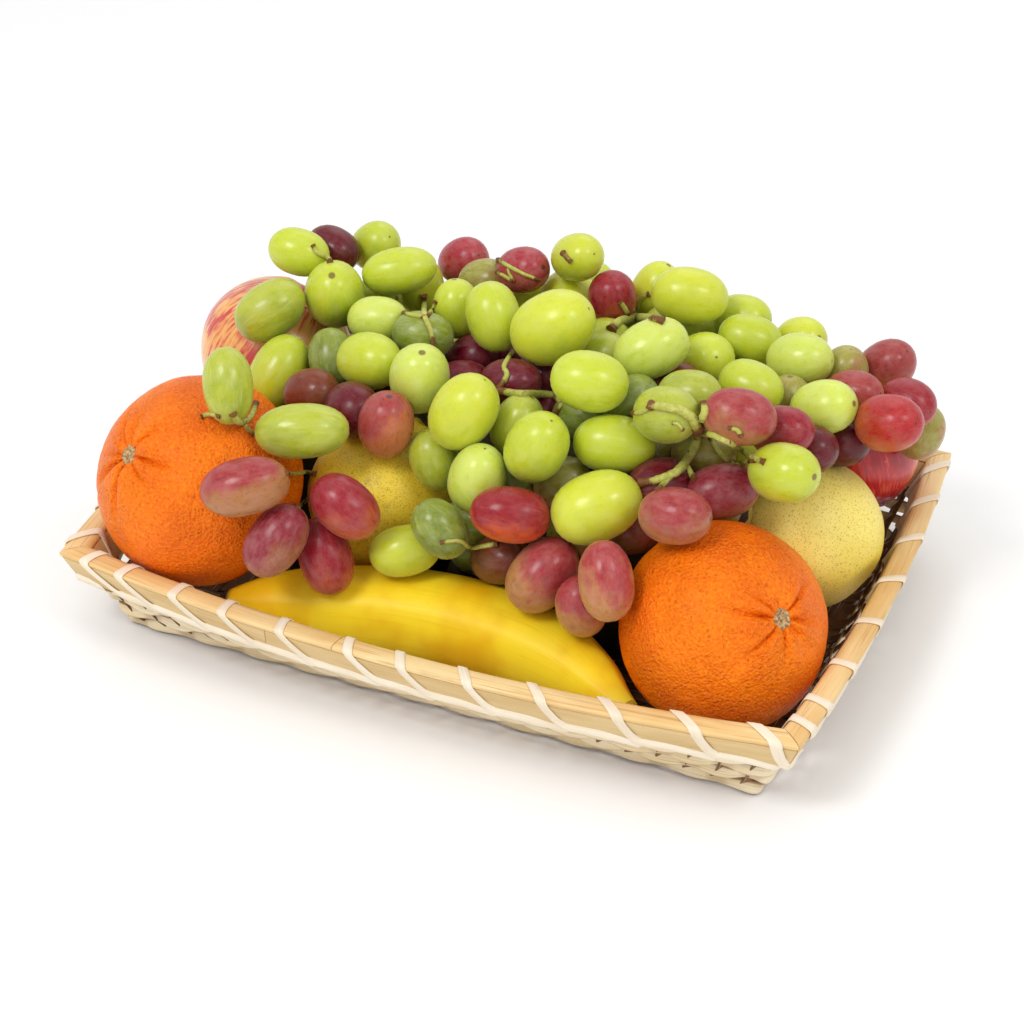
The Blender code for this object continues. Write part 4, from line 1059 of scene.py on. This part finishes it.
def domePoint(turn, lift, depth):
    way = np.array((math.cos(turn) * math.cos(lift), math.sin(turn) * math.cos(lift), math.sin(lift)))
    low, high = 0.0, 0.3
    for _ in range(24):
        middle = (low + high) / 2
        low, high = (middle, high) if domeMeasure(domeFoot + way * middle) < 1 else (low, middle)
    return domeFoot + way * (middle - depth)


# Balls that stand in for the fruit: one each, and a row of them along the banana
ballPlaces = [data["place"] for data in fruit.values()]
ballPlaces = np.array(ballPlaces + [(x, y, banana["height"]) for x, y in banana["line"]]) * mm
ballSizes = np.array([data["radius"] for data in fruit.values()] + list(banana["radius"])) * mm


def berryInSight(u, v, longPixels, shortPixels, tilt, depth, tone):
    way = sightLine(u, v)
    travels = np.arange(*berry["reach"]) * mm
    places = cameraPlace + way * travels[:, None]
    room = ballSizes + berry["short"][0] / 2 * mm
    measures = domeMeasure(places - way * depth * mm)
    hits = (np.linalg.norm(places[:, None] - ballPlaces, axis=2) < room).any(axis=1) | (measures <= 1)
    travel = travels[np.argmax(hits)] if hits.any() else travels[np.argmin(measures)]
    scale = travel * -np.dot(way, toCamera) / photoView["focalPixels"]
    short = min(max(shortPixels * scale, berry["short"][0] * mm), berry["short"][1] * mm)
    longest = min(max(longPixels * scale, short * berry["stretch"]), berry["longest"] * mm)
    stretch = longest / short
    lean = (min(longPixels / shortPixels, stretch) ** 2 - 1) / (stretch ** 2 - 1)
    turn = math.radians(tilt)
    inPicture = cameraRight * math.cos(turn) + cameraUp * math.sin(turn)
    axis = inPicture * math.sqrt(lean) + toCamera * math.sqrt(1 - lean)
    place = cameraPlace + way * travel
    return {"place": place, "axis": axis, "long": longest, "short": short, "way": way, "tone": tone}


# Whether a fruit that shows lies right behind this place
def coversFruit(place, sight):
    gaps = ballPlaces - place
    return ((gaps @ sight > 0) & (np.linalg.norm(np.cross(gaps, sight), axis=1) < ballSizes)).any()


# Layers of berries in the dome: the gaps in its skin, then what closes the sides and the back and lies deeper
rearFacing = 0.1
skinLayers = ({
    "depth": 0, "spacing": 24, "rearOnly": False, "tries": 1400, "start": 0, "lowest": 48, "fruitGap": 6,
    "thinner": 0, "stretch": (1.2, 1.4),
},)
filling = {
    "tries": 2600, "start": -0.12, "lowest": 26, "fruitGap": 9, "thinner": 2.5, "stretch": (1.15, 1.35),
}
fillingLayers = (
    dict(filling, depth=0, spacing=21, rearOnly=True), dict(filling, depth=8, spacing=18.5, rearOnly=False),
    dict(filling, depth=22, spacing=20, rearOnly=False),
)


def layerBerries(placed, layers, chance):
    found = []
    for layer in layers:
        for k in range(layer["tries"]):
            lift = math.asin(layer["start"] + (1 - layer["start"]) * (k + 0.5) / layer["tries"])
            place = domePoint(k * golden + layer["depth"], lift, layer["depth"] * mm)
            sight = unit(place - cameraPlace)
            taken = np.array([one["place"] for one in placed + found])
            if place[2] < layer["lowest"] * mm:
                continue
            if (np.linalg.norm(taken - place, axis=1) < layer["spacing"] * mm).any():
                continue
            if (np.linalg.norm(ballPlaces - place, axis=1) < ballSizes + layer["fruitGap"] * mm).any():
                continue
            if layer["rearOnly"] and np.dot(unit(place - domeFoot), -sight) > rearFacing:
                continue
            if layer["depth"] == 0 and coversFruit(place, sight):
                continue
            axis = unit(np.array([chance.uniform(-1, 1) for _ in range(3)]))
            short = chance.uniform(berry["short"][0] * mm, (berry["short"][1] - layer["thinner"]) * mm)
            one = {"place": place, "axis": axis, "short": short, "way": None, "tone": None}
            found.append(dict(one, long=short * chance.uniform(*layer["stretch"])))
    return found


def heldInTray(points, radii):
    x, y, z = points[..., 0], points[..., 1], points[..., 2]
    inward = rimHalf + settling["wallClear"] * mm + radii
    lean = tray["baseInset"] * mm * (1 - np.minimum(z, edgeHeight) / edgeHeight)
    limitX = edgeHalf[0] + tray["bow"][1] * mm * np.maximum(0, 1 - (y / edgeHalf[1]) ** 2) - lean - inward
    limitY = edgeHalf[1] + tray["bow"][2] * mm * np.maximum(0, 1 - (x / edgeHalf[0]) ** 2) - lean - inward
    low = z < (tray["height"] + settling["aboveRim"]) * mm
    heldX = np.where(low, np.clip(x, -limitX, limitX), x)
    heldY = np.where(low, np.clip(y, -limitY, limitY), y)
    return np.stack([heldX, heldY, np.maximum(z, tray["floor"] * mm + gap + radii)], -1)


settling = {
    "inSightRounds": 160, "skinRounds": 120, "fillingRounds": 70, "near": 1.1, "berryPush": 0.25,
    "fruitPush": 0.5, "trayPush": 0.5, "asideShare": 0.35, "toSightLine": 0.15, "toStart": 0.01,
    "freeToStart": 0.02, "wallClear": 1.5, "aboveRim": 4,
}


# How far balls that need this room push each other, summed over the balls of each berry
def pushApart(apart, room, share):
    overlap = np.maximum(room - np.linalg.norm(apart, axis=3), 0)
    return (unit(apart) * (overlap * share)[..., None]).sum(axis=(1, 2))


# Push overlapping berries apart, in sight mostly along their sight lines, and the fixed first ones not at all
def settle(berries, rounds, fixed=0):
    keys = ("place", "axis", "short", "long")
    places, axes, shorts, longs = (np.array([one[key] for one in berries]) for key in keys)
    starts = places.copy()
    seen = np.array([one["way"] is not None for one in berries])
    ways = np.array([one["way"] if one["way"] is not None else (0, 0, 0) for one in berries])
    offsets = axes[:, None] * np.array((-1, 0, 1))[None, :, None] * ((longs - shorts) / 2)[:, None, None]
    rooms = (shorts[:, None] + shorts[None, :]) / 2 + berry["clear"] * mm
    fruitRooms = ballSizes + shorts[:, None, None] / 2 + berry["fruitClear"] * mm

    def alongSight(moves):
        return ways * (moves * ways).sum(1, keepdims=True)

    for _ in range(rounds):
        middles = places[:, None] + offsets
        distance = np.linalg.norm(places[:, None] - places[None], axis=2)
        first, second = np.nonzero(np.triu(distance <= berry["longest"] * settling["near"] * mm, 1))
        apart = middles[first][:, :, None] - middles[second][:, None]
        push = pushApart(apart, rooms[first, second][:, None, None], settling["berryPush"])
        pushes = np.zeros_like(places)
        np.add.at(pushes, first, push)
        np.add.at(pushes, second, -push)
        pushes += pushApart(middles[:, :, None] - ballPlaces, fruitRooms, settling["fruitPush"])
        along = alongSight(pushes)
        moved = places + along + (pushes - along) * settling["asideShare"]
        beside = moved - cameraPlace
        moved -= (beside - alongSight(beside)) * settling["toSightLine"]
        moved += alongSight(starts - moved) * settling["toStart"]
        free = places + pushes + (starts - places) * settling["freeToStart"]
        places[fixed:] = np.where(seen[:, None], moved, free)[fixed:]
        middles = places[:, None] + offsets
        inward = heldInTray(middles, shorts[:, None] / 2) - middles
        places[fixed:] += (inward * settling["trayPush"]).sum(axis=1)[fixed:]
    for one, place in zip(berries, places):
        one["place"] = place
    return berries


# One berry of radius 1, blunt at both ends, with its two end points drawn slightly in
def unitBerry():
    sides, rings = berry["sides"], berry["rings"]
    points = []
    for k in range(1, rings - 1):
        height = -math.cos(math.pi * k / (rings - 1))
        width = (1 - abs(height) ** berry["blunt"]) ** (1 / berry["wide"])
        points += [(width * math.cos(turn), width * math.sin(turn), height) for turn in turnsOf(sides)]
    return np.array(points + [(0, 0, end) for end in berry["ends"]]), fanFaces(rings - 2, sides)


berryPoints, berryFaces = unitBerry()


# The photo's outline of the heap, which no other berry may cross, in pixels
heapOutline = (
    (204, 400), (207, 370), (222, 350), (245, 345), (240, 318), (245, 290), (270, 276), (272, 250),
    (280, 235), (300, 228), (322, 234), (335, 234), (348, 243), (355, 235), (375, 224), (395, 230),
    (402, 250), (420, 252), (438, 268), (445, 250), (465, 240), (483, 250), (488, 268), (505, 258),
    (523, 253), (540, 262), (548, 272), (556, 248), (578, 238), (600, 248), (604, 268), (615, 271),
    (633, 283), (640, 290), (645, 275), (665, 270), (690, 267), (720, 278), (728, 300), (730, 312),
    (750, 310), (775, 320), (783, 325), (790, 318), (803, 316), (822, 328), (824, 345), (845, 345),
    (858, 350), (870, 343), (890, 340), (908, 350), (909, 368), (905, 385), (925, 395), (930, 412),
    (936, 430), (930, 450), (900, 462), (880, 500), (800, 560), (700, 600), (600, 640), (400, 600),
    (250, 560), (210, 450),
)


def insideOutline(u, v):
    inside = False
    for (startU, startV), (endU, endV) in zip(heapOutline, heapOutline[1:] + heapOutline[:1]):
        if (startV > v) != (endV > v) and u < startU + (v - startV) / (endV - startV) * (endU - startU):
            inside = not inside
    return inside


# Leave out the berries that would stick out of the heap, or lie over a fruit or a berry that shows
def withoutStrays(berries, inSight):
    kept = []
    for one in berries:
        clear = domeMeasure(one["place"]) < dome["outermost"]
        beside = one["place"] - cameraPlace
        for turn in turnsOf(10):
            aside = cameraRight * math.cos(turn) + cameraUp * math.sin(turn)
            edge = one["place"] + aside * one["short"] / 2 - cameraPlace
            scale = photoView["focalPixels"] / -np.dot(edge, toCamera)
            u = photoView["middlePixel"] + scale * np.dot(edge, cameraRight)
            v = photoView["middlePixel"] - scale * np.dot(edge, cameraUp)
            clear = clear and insideOutline(u, v) and not coversFruit(one["place"], unit(edge))
        for other in inSight:
            toOther = other["place"] - cameraPlace
            aside = np.linalg.norm(np.cross(toOther, unit(beside)))
            nearer = np.linalg.norm(beside) < np.linalg.norm(toOther) - 1 * mm
            clear = clear and not (nearer and aside < berry["mostHidden"] * (other["short"] + one["short"]))
        if clear:
            kept.append(one)
    print(f"{len(berries) - len(kept)} of {len(berries)} hidden berries left out")
    return kept


# A berry out of sight takes a tone like its nearest neighbour's, and below the skin a darker one, painted
# shade deep in the heap
skinTones = {
    "green": ("lime", "pale", "bright", "leaf", "lime"),
    "red": ("crimson", "scarlet", "copper", "pink", "mauve"),
}
otherColourShare = 0.25
likeNeighbourShare = 0.8
innerShadeTones = {
    "lime": "leaf", "bright": "lime", "pale": "leaf", "leaf": "moss", "pink": "wine", "rosy": "russet",
    "scarlet": "crimson", "blush": "russet", "twoTone": "wine",
}


def allBerries():
    chance = random.Random(5)
    rows = greenBerries + redBerries + mixedBerries
    berries = settle([berryInSight(*row) for row in rows], settling["inSightRounds"])
    inSight = len(berries)
    berries = settle(berries + layerBerries(berries, skinLayers, chance), settling["skinRounds"])
    berries = berries[:inSight] + withoutStrays(berries[inSight:], berries[:inSight])
    outer = len(berries)
    berries = settle(berries + layerBerries(berries, fillingLayers, chance), settling["fillingRounds"], outer)
    berries = berries[:outer] + withoutStrays(berries[outer:], berries[:inSight])
    for number, one in enumerate(berries[inSight:], inSight):
        distances = [float(np.linalg.norm(other["place"] - one["place"])) for other in berries[:inSight]]
        near = berries[int(np.argmin(distances))]["tone"]
        if number < outer:
            likeGreen = (near in skinTones["green"] + ("moss",)) != (chance.random() < otherColourShare)
            one["tone"] = chance.choice(skinTones["green" if likeGreen else "red"])
        elif chance.random() < likeNeighbourShare:
            one["tone"] = innerShadeTones.get(near, near)
        else:
            one["tone"] = chance.choice(("olive", "wine", "leaf"))
    return berries, outer


berries, outerCount = allBerries()
print(f"{len(berries)} berries placed, {outerCount} of them outside")


def berryPart(one, chance):
    shape = berryPoints.copy()
    taper, flat = berry["taper"], berry["flat"]
    shape[:, 0] *= 1 + taper * shape[:, 2] * chance.uniform(-1, 1) + chance.uniform(-flat, flat)
    shape[:, 1] *= 1 + taper * shape[:, 2] * chance.uniform(-1, 1)
    turn = np.array(Vector(one["axis"]).to_track_quat("Z", "Y").to_matrix())
    if chance.random() < 0.5:
        turn = turn @ np.diag((1, -1, -1))
    size = np.array((one["short"], one["short"], one["long"])) / 2
    main, cloud, clouds, bloom = tones[one["tone"]]
    seed = chance.uniform(0, 50)
    shade = chance.uniform(*berry["shades"])
    # Painted light and shade: the upper side of each berry leans to its main colour, the underside to its
    # cloud colour
    paintedLightWay = unit(np.array((chance.uniform(-0.5, 0.5), chance.uniform(-0.5, 0.1), 1.0)))
    paintedLightShare = unit(shape) @ turn.T @ paintedLightWay
    return partOf(
        (shape * size) @ turn.T + one["place"], berryFaces, berryPlace=berryPoints,
        berryMain=np.array(colourOf(*main)[:3]) * shade, berryCloud=np.array(colourOf(*cloud)[:3]) * shade,
        berryNature=(seed, clouds, bloom), berryRipe=paintedLightShare[:, None],
    )


# Grape skin: clouds of a second colour, veins from end to end, specks, waxy bloom, a brown scar at each end
def grapeMaterial(name, looks):
    material, tree = newMaterial(name, {
        "Specular IOR Level": looks["specular"], "Coat Weight": looks["coat"], "Coat Roughness": 0.12,
        "Subsurface Weight": looks["glow"], "Subsurface Radius": looks["glowRadius"],
        "Subsurface Scale": 0.006, "Sheen Weight": looks["sheen"], "Sheen Roughness": 0.35,
        "Sheen Tint": (1, 0.97, 0.86, 1),
    })
    place = readValue(tree, "berryPlace")
    seed, clouds, bloom = axesOf(tree, readValue(tree, "berryNature"))
    paintedLightShare = axesOf(tree, readValue(tree, "berryRipe"))[0]
    own = vectorMath(tree, "ADD", place, seed)
    wide = noiseValue(tree, own, 1.1, 2.0, 0.55)
    blotch = noiseValue(tree, own, looks["blotches"], 4.0, 0.62)
    dust = noiseValue(tree, own, 2.6, 5.0, 0.7)
    # Painted light and shade: the upper side takes the main colour, the underside the cloud colour
    cover = weighted(tree, (wide, 0.65), (blotch, 0.35), (paintedLightShare, -looks["paintedLightShift"]), (clouds, 0.5))
    base = laidOver(tree, readValue(tree, "berryMain"), readValue(tree, "berryCloud"), cover, 0.60, 0.88)
    base = laidOver(tree, base, looks["mottleColour"], blotch, 0.5, 0.66, looks["mottle"])
    veins = meridians(tree, place, 9.0, 0.25, seed)
    base = laidOver(tree, base, looks["veinColour"], veins, 0.54, 0.68, looks["veins"])
    dusty = mathNode(tree, "MULTIPLY", stepNode(tree, dust, 0.38, 0.7), bloom)
    base = mixColours(tree, dusty, base, looks["bloomColour"])
    specks = dotsMask(tree, own, 6.5, 0.035, looks["speckShare"], 0.035)
    base = mixColours(tree, mathNode(tree, "MULTIPLY", specks, 0.7), base, looks["speckColour"])
    flat = vectorMath(tree, "MULTIPLY", place, (1, 1, 0))
    aside = addNode(tree, "VectorMath", {0: flat}, operation="LENGTH").outputs[1]
    stalkEnd = mathNode(tree, "GREATER_THAN", axesOf(tree, place)[2], 0.5)
    size = mathNode(tree, "ADD", mathNode(tree, "MULTIPLY", stalkEnd, 0.05), 0.035)
    scar = stepNode(tree, aside, size, mathNode(tree, "MULTIPLY", size, 1.7), 0.85, 0)
    base = mixColours(tree, scar, base, looks["scarColour"])
    rough = stepNode(tree, dust, 0.3, 0.7, looks["rough"], looks["rough"] + 0.16)
    linkSkin(tree, base, blotch, 0.12, 0.0003, rough)
    return material


greenLooks = {
    "specular": 0.45, "coat": 0.15, "sheen": 0.12, "rough": 0.24, "glow": 0.45,
    "glowRadius": (0.8, 1.0, 0.25), "paintedLightShift": 0.16, "mottle": 0.12, "mottleColour": (150, 170, 40),
    "blotches": 3.0, "veins": 0.2, "veinColour": (222, 228, 128), "bloomColour": (226, 232, 190),
    "speckShare": 0.28, "speckColour": (96, 84, 30), "scarColour": (112, 82, 40),
}
redLooks = {
    "specular": 0.3, "coat": 0.1, "sheen": 0.03, "rough": 0.24, "glow": 0.22,
    "glowRadius": (1.0, 0.3, 0.2), "paintedLightShift": 0.34, "mottle": 0.3, "mottleColour": (104, 18, 36),
    "blotches": 4.5, "veins": 0.1, "veinColour": (224, 140, 120), "bloomColour": (216, 170, 164),
    "speckShare": 0.3, "speckColour": (92, 26, 30), "scarColour": (84, 48, 30),
}
greenGrape = grapeMaterial("greenGrape", greenLooks)
redGrape = grapeMaterial("redGrape", redLooks)
greenTones = ("lime", "leaf", "bright", "pale", "moss", "olive")
berryChance = random.Random(21)
for name, material, wanted, isOuter in (
    ("greenGrapes", greenGrape, True, True), ("redGrapes", redGrape, False, True),
    ("innerGreenGrapes", greenGrape, True, False), ("innerRedGrapes", redGrape, False, False),
):
    chosen = [one for number, one in enumerate(berries)
              if (one["tone"] in greenTones) == wanted and (number < outerCount) == isOuter]
    piece = newPiece(name, joined([berryPart(one, berryChance) for one in chosen]), material,
                     ["grapes"] if isOuter else ())
    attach(piece, "root")
print("grapes made")


# Heart of the heap: a dark body deep under the berries, painted shade that closes the gaps between them, kept
# out of the fruit
heart = {
    "rows": 14, "sides": 48, "depth": 26, "highest": 88, "foot": 6, "middleDrop": 8, "fruitClear": 3,
    "clear": 6, "shrink": 0.04, "tries": 60,
}


def heapHeart():
    points = []
    centre = domeFoot - np.array((0, 0, heart["middleDrop"] * mm))
    for row in range(heart["rows"]):
        lift = math.radians(row * heart["highest"] / (heart["rows"] - 1))
        for turn in turnsOf(heart["sides"]):
            place = domePoint(turn, lift, heart["depth"] * mm)
            if row == 0:
                place[2] = heart["foot"] * mm
            for _ in range(heart["tries"]):
                if (np.linalg.norm(ballPlaces - place, axis=1) > ballSizes + heart["fruitClear"] * mm).all():
                    break
                place = place + (centre - place) * heart["shrink"]
            points.append(heldInTray(place, heart["clear"] * mm))
    return partOf(points, tubeFaces(heart["rows"], heart["sides"]))


heartSkin = plainSkin("heapShade", {"Roughness": 0.9}, (58, 56, 22), (44, 26, 20), 60.0, 0.4)
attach(newPiece("heapHeart", heapHeart(), heartSkin), "root")

# Stems: routes in the photo's pixels, laid on what they pass over, then the thickness at start and end
stemRoutes = (
    ((651, 405), (665, 407), (680, 410), (692, 418), (697, 427), 3.2, 4.2),
    ((704, 404), (705, 411), (702, 420), (697, 430), 2.6, 4.4),
    ((697, 428), (695, 444), (687, 460), (676, 472), (660, 479), (640, 483), 4.4, 3.0),
    ((670, 476), (665, 482), (658, 490), 2.8, 2.0), ((686, 464), (690, 472), (695, 480), 2.8, 2.4),
    ((700, 434), (710, 434), (722, 439), (736, 446), (748, 455), (757, 459), (764, 462), 3.0, 2.2),
    ((711, 437), (716, 447), (724, 458), (733, 463), (744, 463), (756, 460), 2.2, 1.8),
    ((632, 413), (641, 412), (650, 407), 1.6, 2.4), ((672, 423), (678, 424), (683, 430), 1.2, 1.4),
    ((513, 351), (504, 366), (507, 375), (499, 388), 2.0, 2.4),
    ((499, 391), (520, 394), (540, 394), (556, 396), 3.4, 3.4),
    ((554, 396), (561, 404), (556, 414), 2.2, 1.8),
    ((424, 295), (424, 305), (425, 317), (431, 331), (433, 344), 2.8, 2.0),
    ((404, 313), (413, 315), (425, 317), 1.8, 2.0), ((436, 301), (433, 309), (426, 317), 1.8, 2.0),
    ((649, 294), (643, 297), (638, 304), (640, 317), 2.2, 1.8),
    ((611, 330), (620, 321), (640, 317), (664, 321), 4.0, 3.2),
    ((620, 302), (624, 307), (628, 314), 2.0, 2.2),
    ((498, 260), (512, 268), (526, 275), (540, 280), 2.0, 1.4),
    ((497, 272), (506, 277), (513, 281), 1.6, 2.0), ((508, 265), (509, 273), (514, 281), 1.2, 1.4),
    ((233, 414), (237, 420), (243, 423), (251, 416), (256, 403), 2.8, 2.2),
    ((242, 422), (248, 429), (254, 435), 2.0, 1.8), ((201, 417), (210, 414), (220, 417), 2.0, 1.6),
    ((286, 473), (296, 474), (306, 472), (316, 474), 1.6, 2.0),
    ((298, 508), (303, 503), (309, 498), 1.6, 1.8),
    ((440, 543), (452, 541), (462, 542), (471, 548), (484, 546), (498, 544), 1.4, 2.2),
    ((313, 245), (318, 253), (328, 258), (330, 262), 1.8, 2.4),
    ((728, 428), (737, 430), (741, 436), 1.4, 2.0), ((563, 253), (567, 258), (571, 262), 2.4, 2.0),
)


stemShape = {
    "pointsPerPixel": 6, "sides": 10, "sink": 0.7, "rounds": 12, "startSwell": (1.35, 1.3),
    "endSwell": (1.2, 1.3), "lump": 0.16, "lumpsPerMetre": 700, "brownEnds": 0.9,
}


def treeOf(pieces):
    points, faces, offset = [], [], 0
    for piece in pieces:
        points += [piece.matrix_world @ vertex.co for vertex in piece.data.vertices]
        faces += [tuple(index + offset for index in polygon.vertices) for polygon in piece.data.polygons]
        offset = len(points)
    return BVHTree.FromPolygons(points, faces)


bpy.context.view_layer.update()
carriers = ["greenGrapes", "redGrapes", "innerGreenGrapes", "innerRedGrapes", *fruit, "banana", "heapHeart"]
carrierTree = treeOf([bpy.data.objects[name] for name in carriers])


def tubePart(points, radii, seed):
    heading = unit(np.gradient(points, axis=0))
    across = unit(np.cross(heading, toCamera + np.array((0.01, 0.02, 0))))
    other = np.cross(heading, across)
    travelled = travelAlong(points) * stemShape["lumpsPerMetre"]
    skin = []
    for k, point in enumerate(points):
        for turn in turnsOf(stemShape["sides"]):
            x, y = math.cos(turn), math.sin(turn)
            lump = 1 + stemShape["lump"] * noise.noise(Vector((travelled[k], x, y + seed)))
            skin.append(point + (across[k] * x + other[k] * y) * radii[k] * lump)
    return partOf(skin, tubeFaces(len(points), stemShape["sides"]))


def stemPart(route, seed):
    *pixels, startWidth, endWidth = route
    count = stemShape["pointsPerPixel"] * len(pixels)
    ways = np.array([sightLine(u, v) for u, v in smoothLine(pixels, count)])
    widths = np.linspace(startWidth, endWidth, count) / 2 * mm
    depths = []
    for way, width in zip(ways, widths):
        hit = carrierTree.ray_cast(Vector(cameraPlace), Vector(way))[3]
        depths.append((hit or 1.0) - width * stemShape["sink"])
    smooth = np.array(depths)
    for _ in range(stemShape["rounds"]):
        smooth = np.minimum(softened(smooth.copy(), 1), depths)
    widths[:2] *= stemShape["startSwell"]
    widths[-2:] *= stemShape["endSwell"]
    part = tubePart(cameraPlace + ways * smooth[:, None], widths, seed)
    travelled = np.linspace(0, 1, count)
    nearEnd = 1 - np.minimum(travelled, 1 - travelled) * len(pixels) / stemShape["brownEnds"]
    part["values"]["stemEnd"] = np.repeat(np.clip(nearEnd, 0, 1), stemShape["sides"])[:, None] * np.ones(3)
    return part


def stemMaterial():
    looks = {"green": (172, 176, 74), "pale": (204, 200, 112), "brown": (116, 74, 34)}
    material, tree = newMaterial("grapeStem", {"Roughness": 0.6, "Specular IOR Level": 0.35})
    place = addNode(tree, "TexCoord").outputs["Object"]
    value = noiseValue(tree, place, 420.0, 4.0, 0.65)
    ends = axesOf(tree, readValue(tree, "stemEnd"))[0]
    brown = weighted(tree, (value, 1), (noiseValue(tree, place, 60.0, 2.0), 1), (ends, 0.55))
    base = laidOver(tree, looks["green"], looks["pale"], value, 0.4, 0.65)
    base = laidOver(tree, base, looks["brown"], brown, 1.08, 1.3)
    linkSkin(tree, base, value, 0.5, 0.0005)
    return material


stems = joined([stemPart(route, number * 1.7) for number, route in enumerate(stemRoutes)])
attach(newPiece("grapeStems", stems, stemMaterial(), (), 60), "root")
print("stems made")

# Floor and light
studio = {
    "floorSize": 6.0, "floorColour": (250, 250, 250), "world": 0.78,
    "lamps": {
        "keyLamp": {"place": (-0.35, -1.0, 1.35), "size": 0.5, "power": 9.5},
        "sideLamp": {"place": (0.95, -0.35, 1.2), "size": 0.4, "power": 4},
        "backLamp": {"place": (-0.2, 1.2, 1.3), "size": 1.0, "power": 3},
    },
}
floorMesh = bpy.data.meshes.new("studioFloor")
half = studio["floorSize"] / 2
corners = [(-half, -half, 0), (half, -half, 0), (half, half, 0), (-half, half, 0)]
floorMesh.from_pydata(corners, [], [(0, 1, 2, 3)])
floorLooks = {"Base Color": colourOf(*studio["floorColour"]), "Roughness": 0.7, "Specular IOR Level": 0.2}
floorMesh.materials.append(newMaterial("studioFloor", floorLooks)[0])
floor = bpy.data.objects.new("studioFloor", floorMesh)
bpy.context.scene.collection.objects.link(floor)
world = bpy.data.worlds.new("studio")
world.use_nodes = True
world.node_tree.nodes["Background"].inputs["Color"].default_value = (1, 1, 1, 1)
world.node_tree.nodes["Background"].inputs["Strength"].default_value = studio["world"]
bpy.context.scene.world = world
for name, lamp in studio["lamps"].items():
    data = bpy.data.lights.new(name, "AREA")
    data.energy = lamp["power"]
    data.size = lamp["size"]
    light = bpy.data.objects.new(name, data)
    light.location = lamp["place"]
    light.rotation_euler = Vector(lamp["place"]).to_track_quat("Z", "Y").to_euler()
    bpy.context.scene.collection.objects.link(light)
print("studio set")
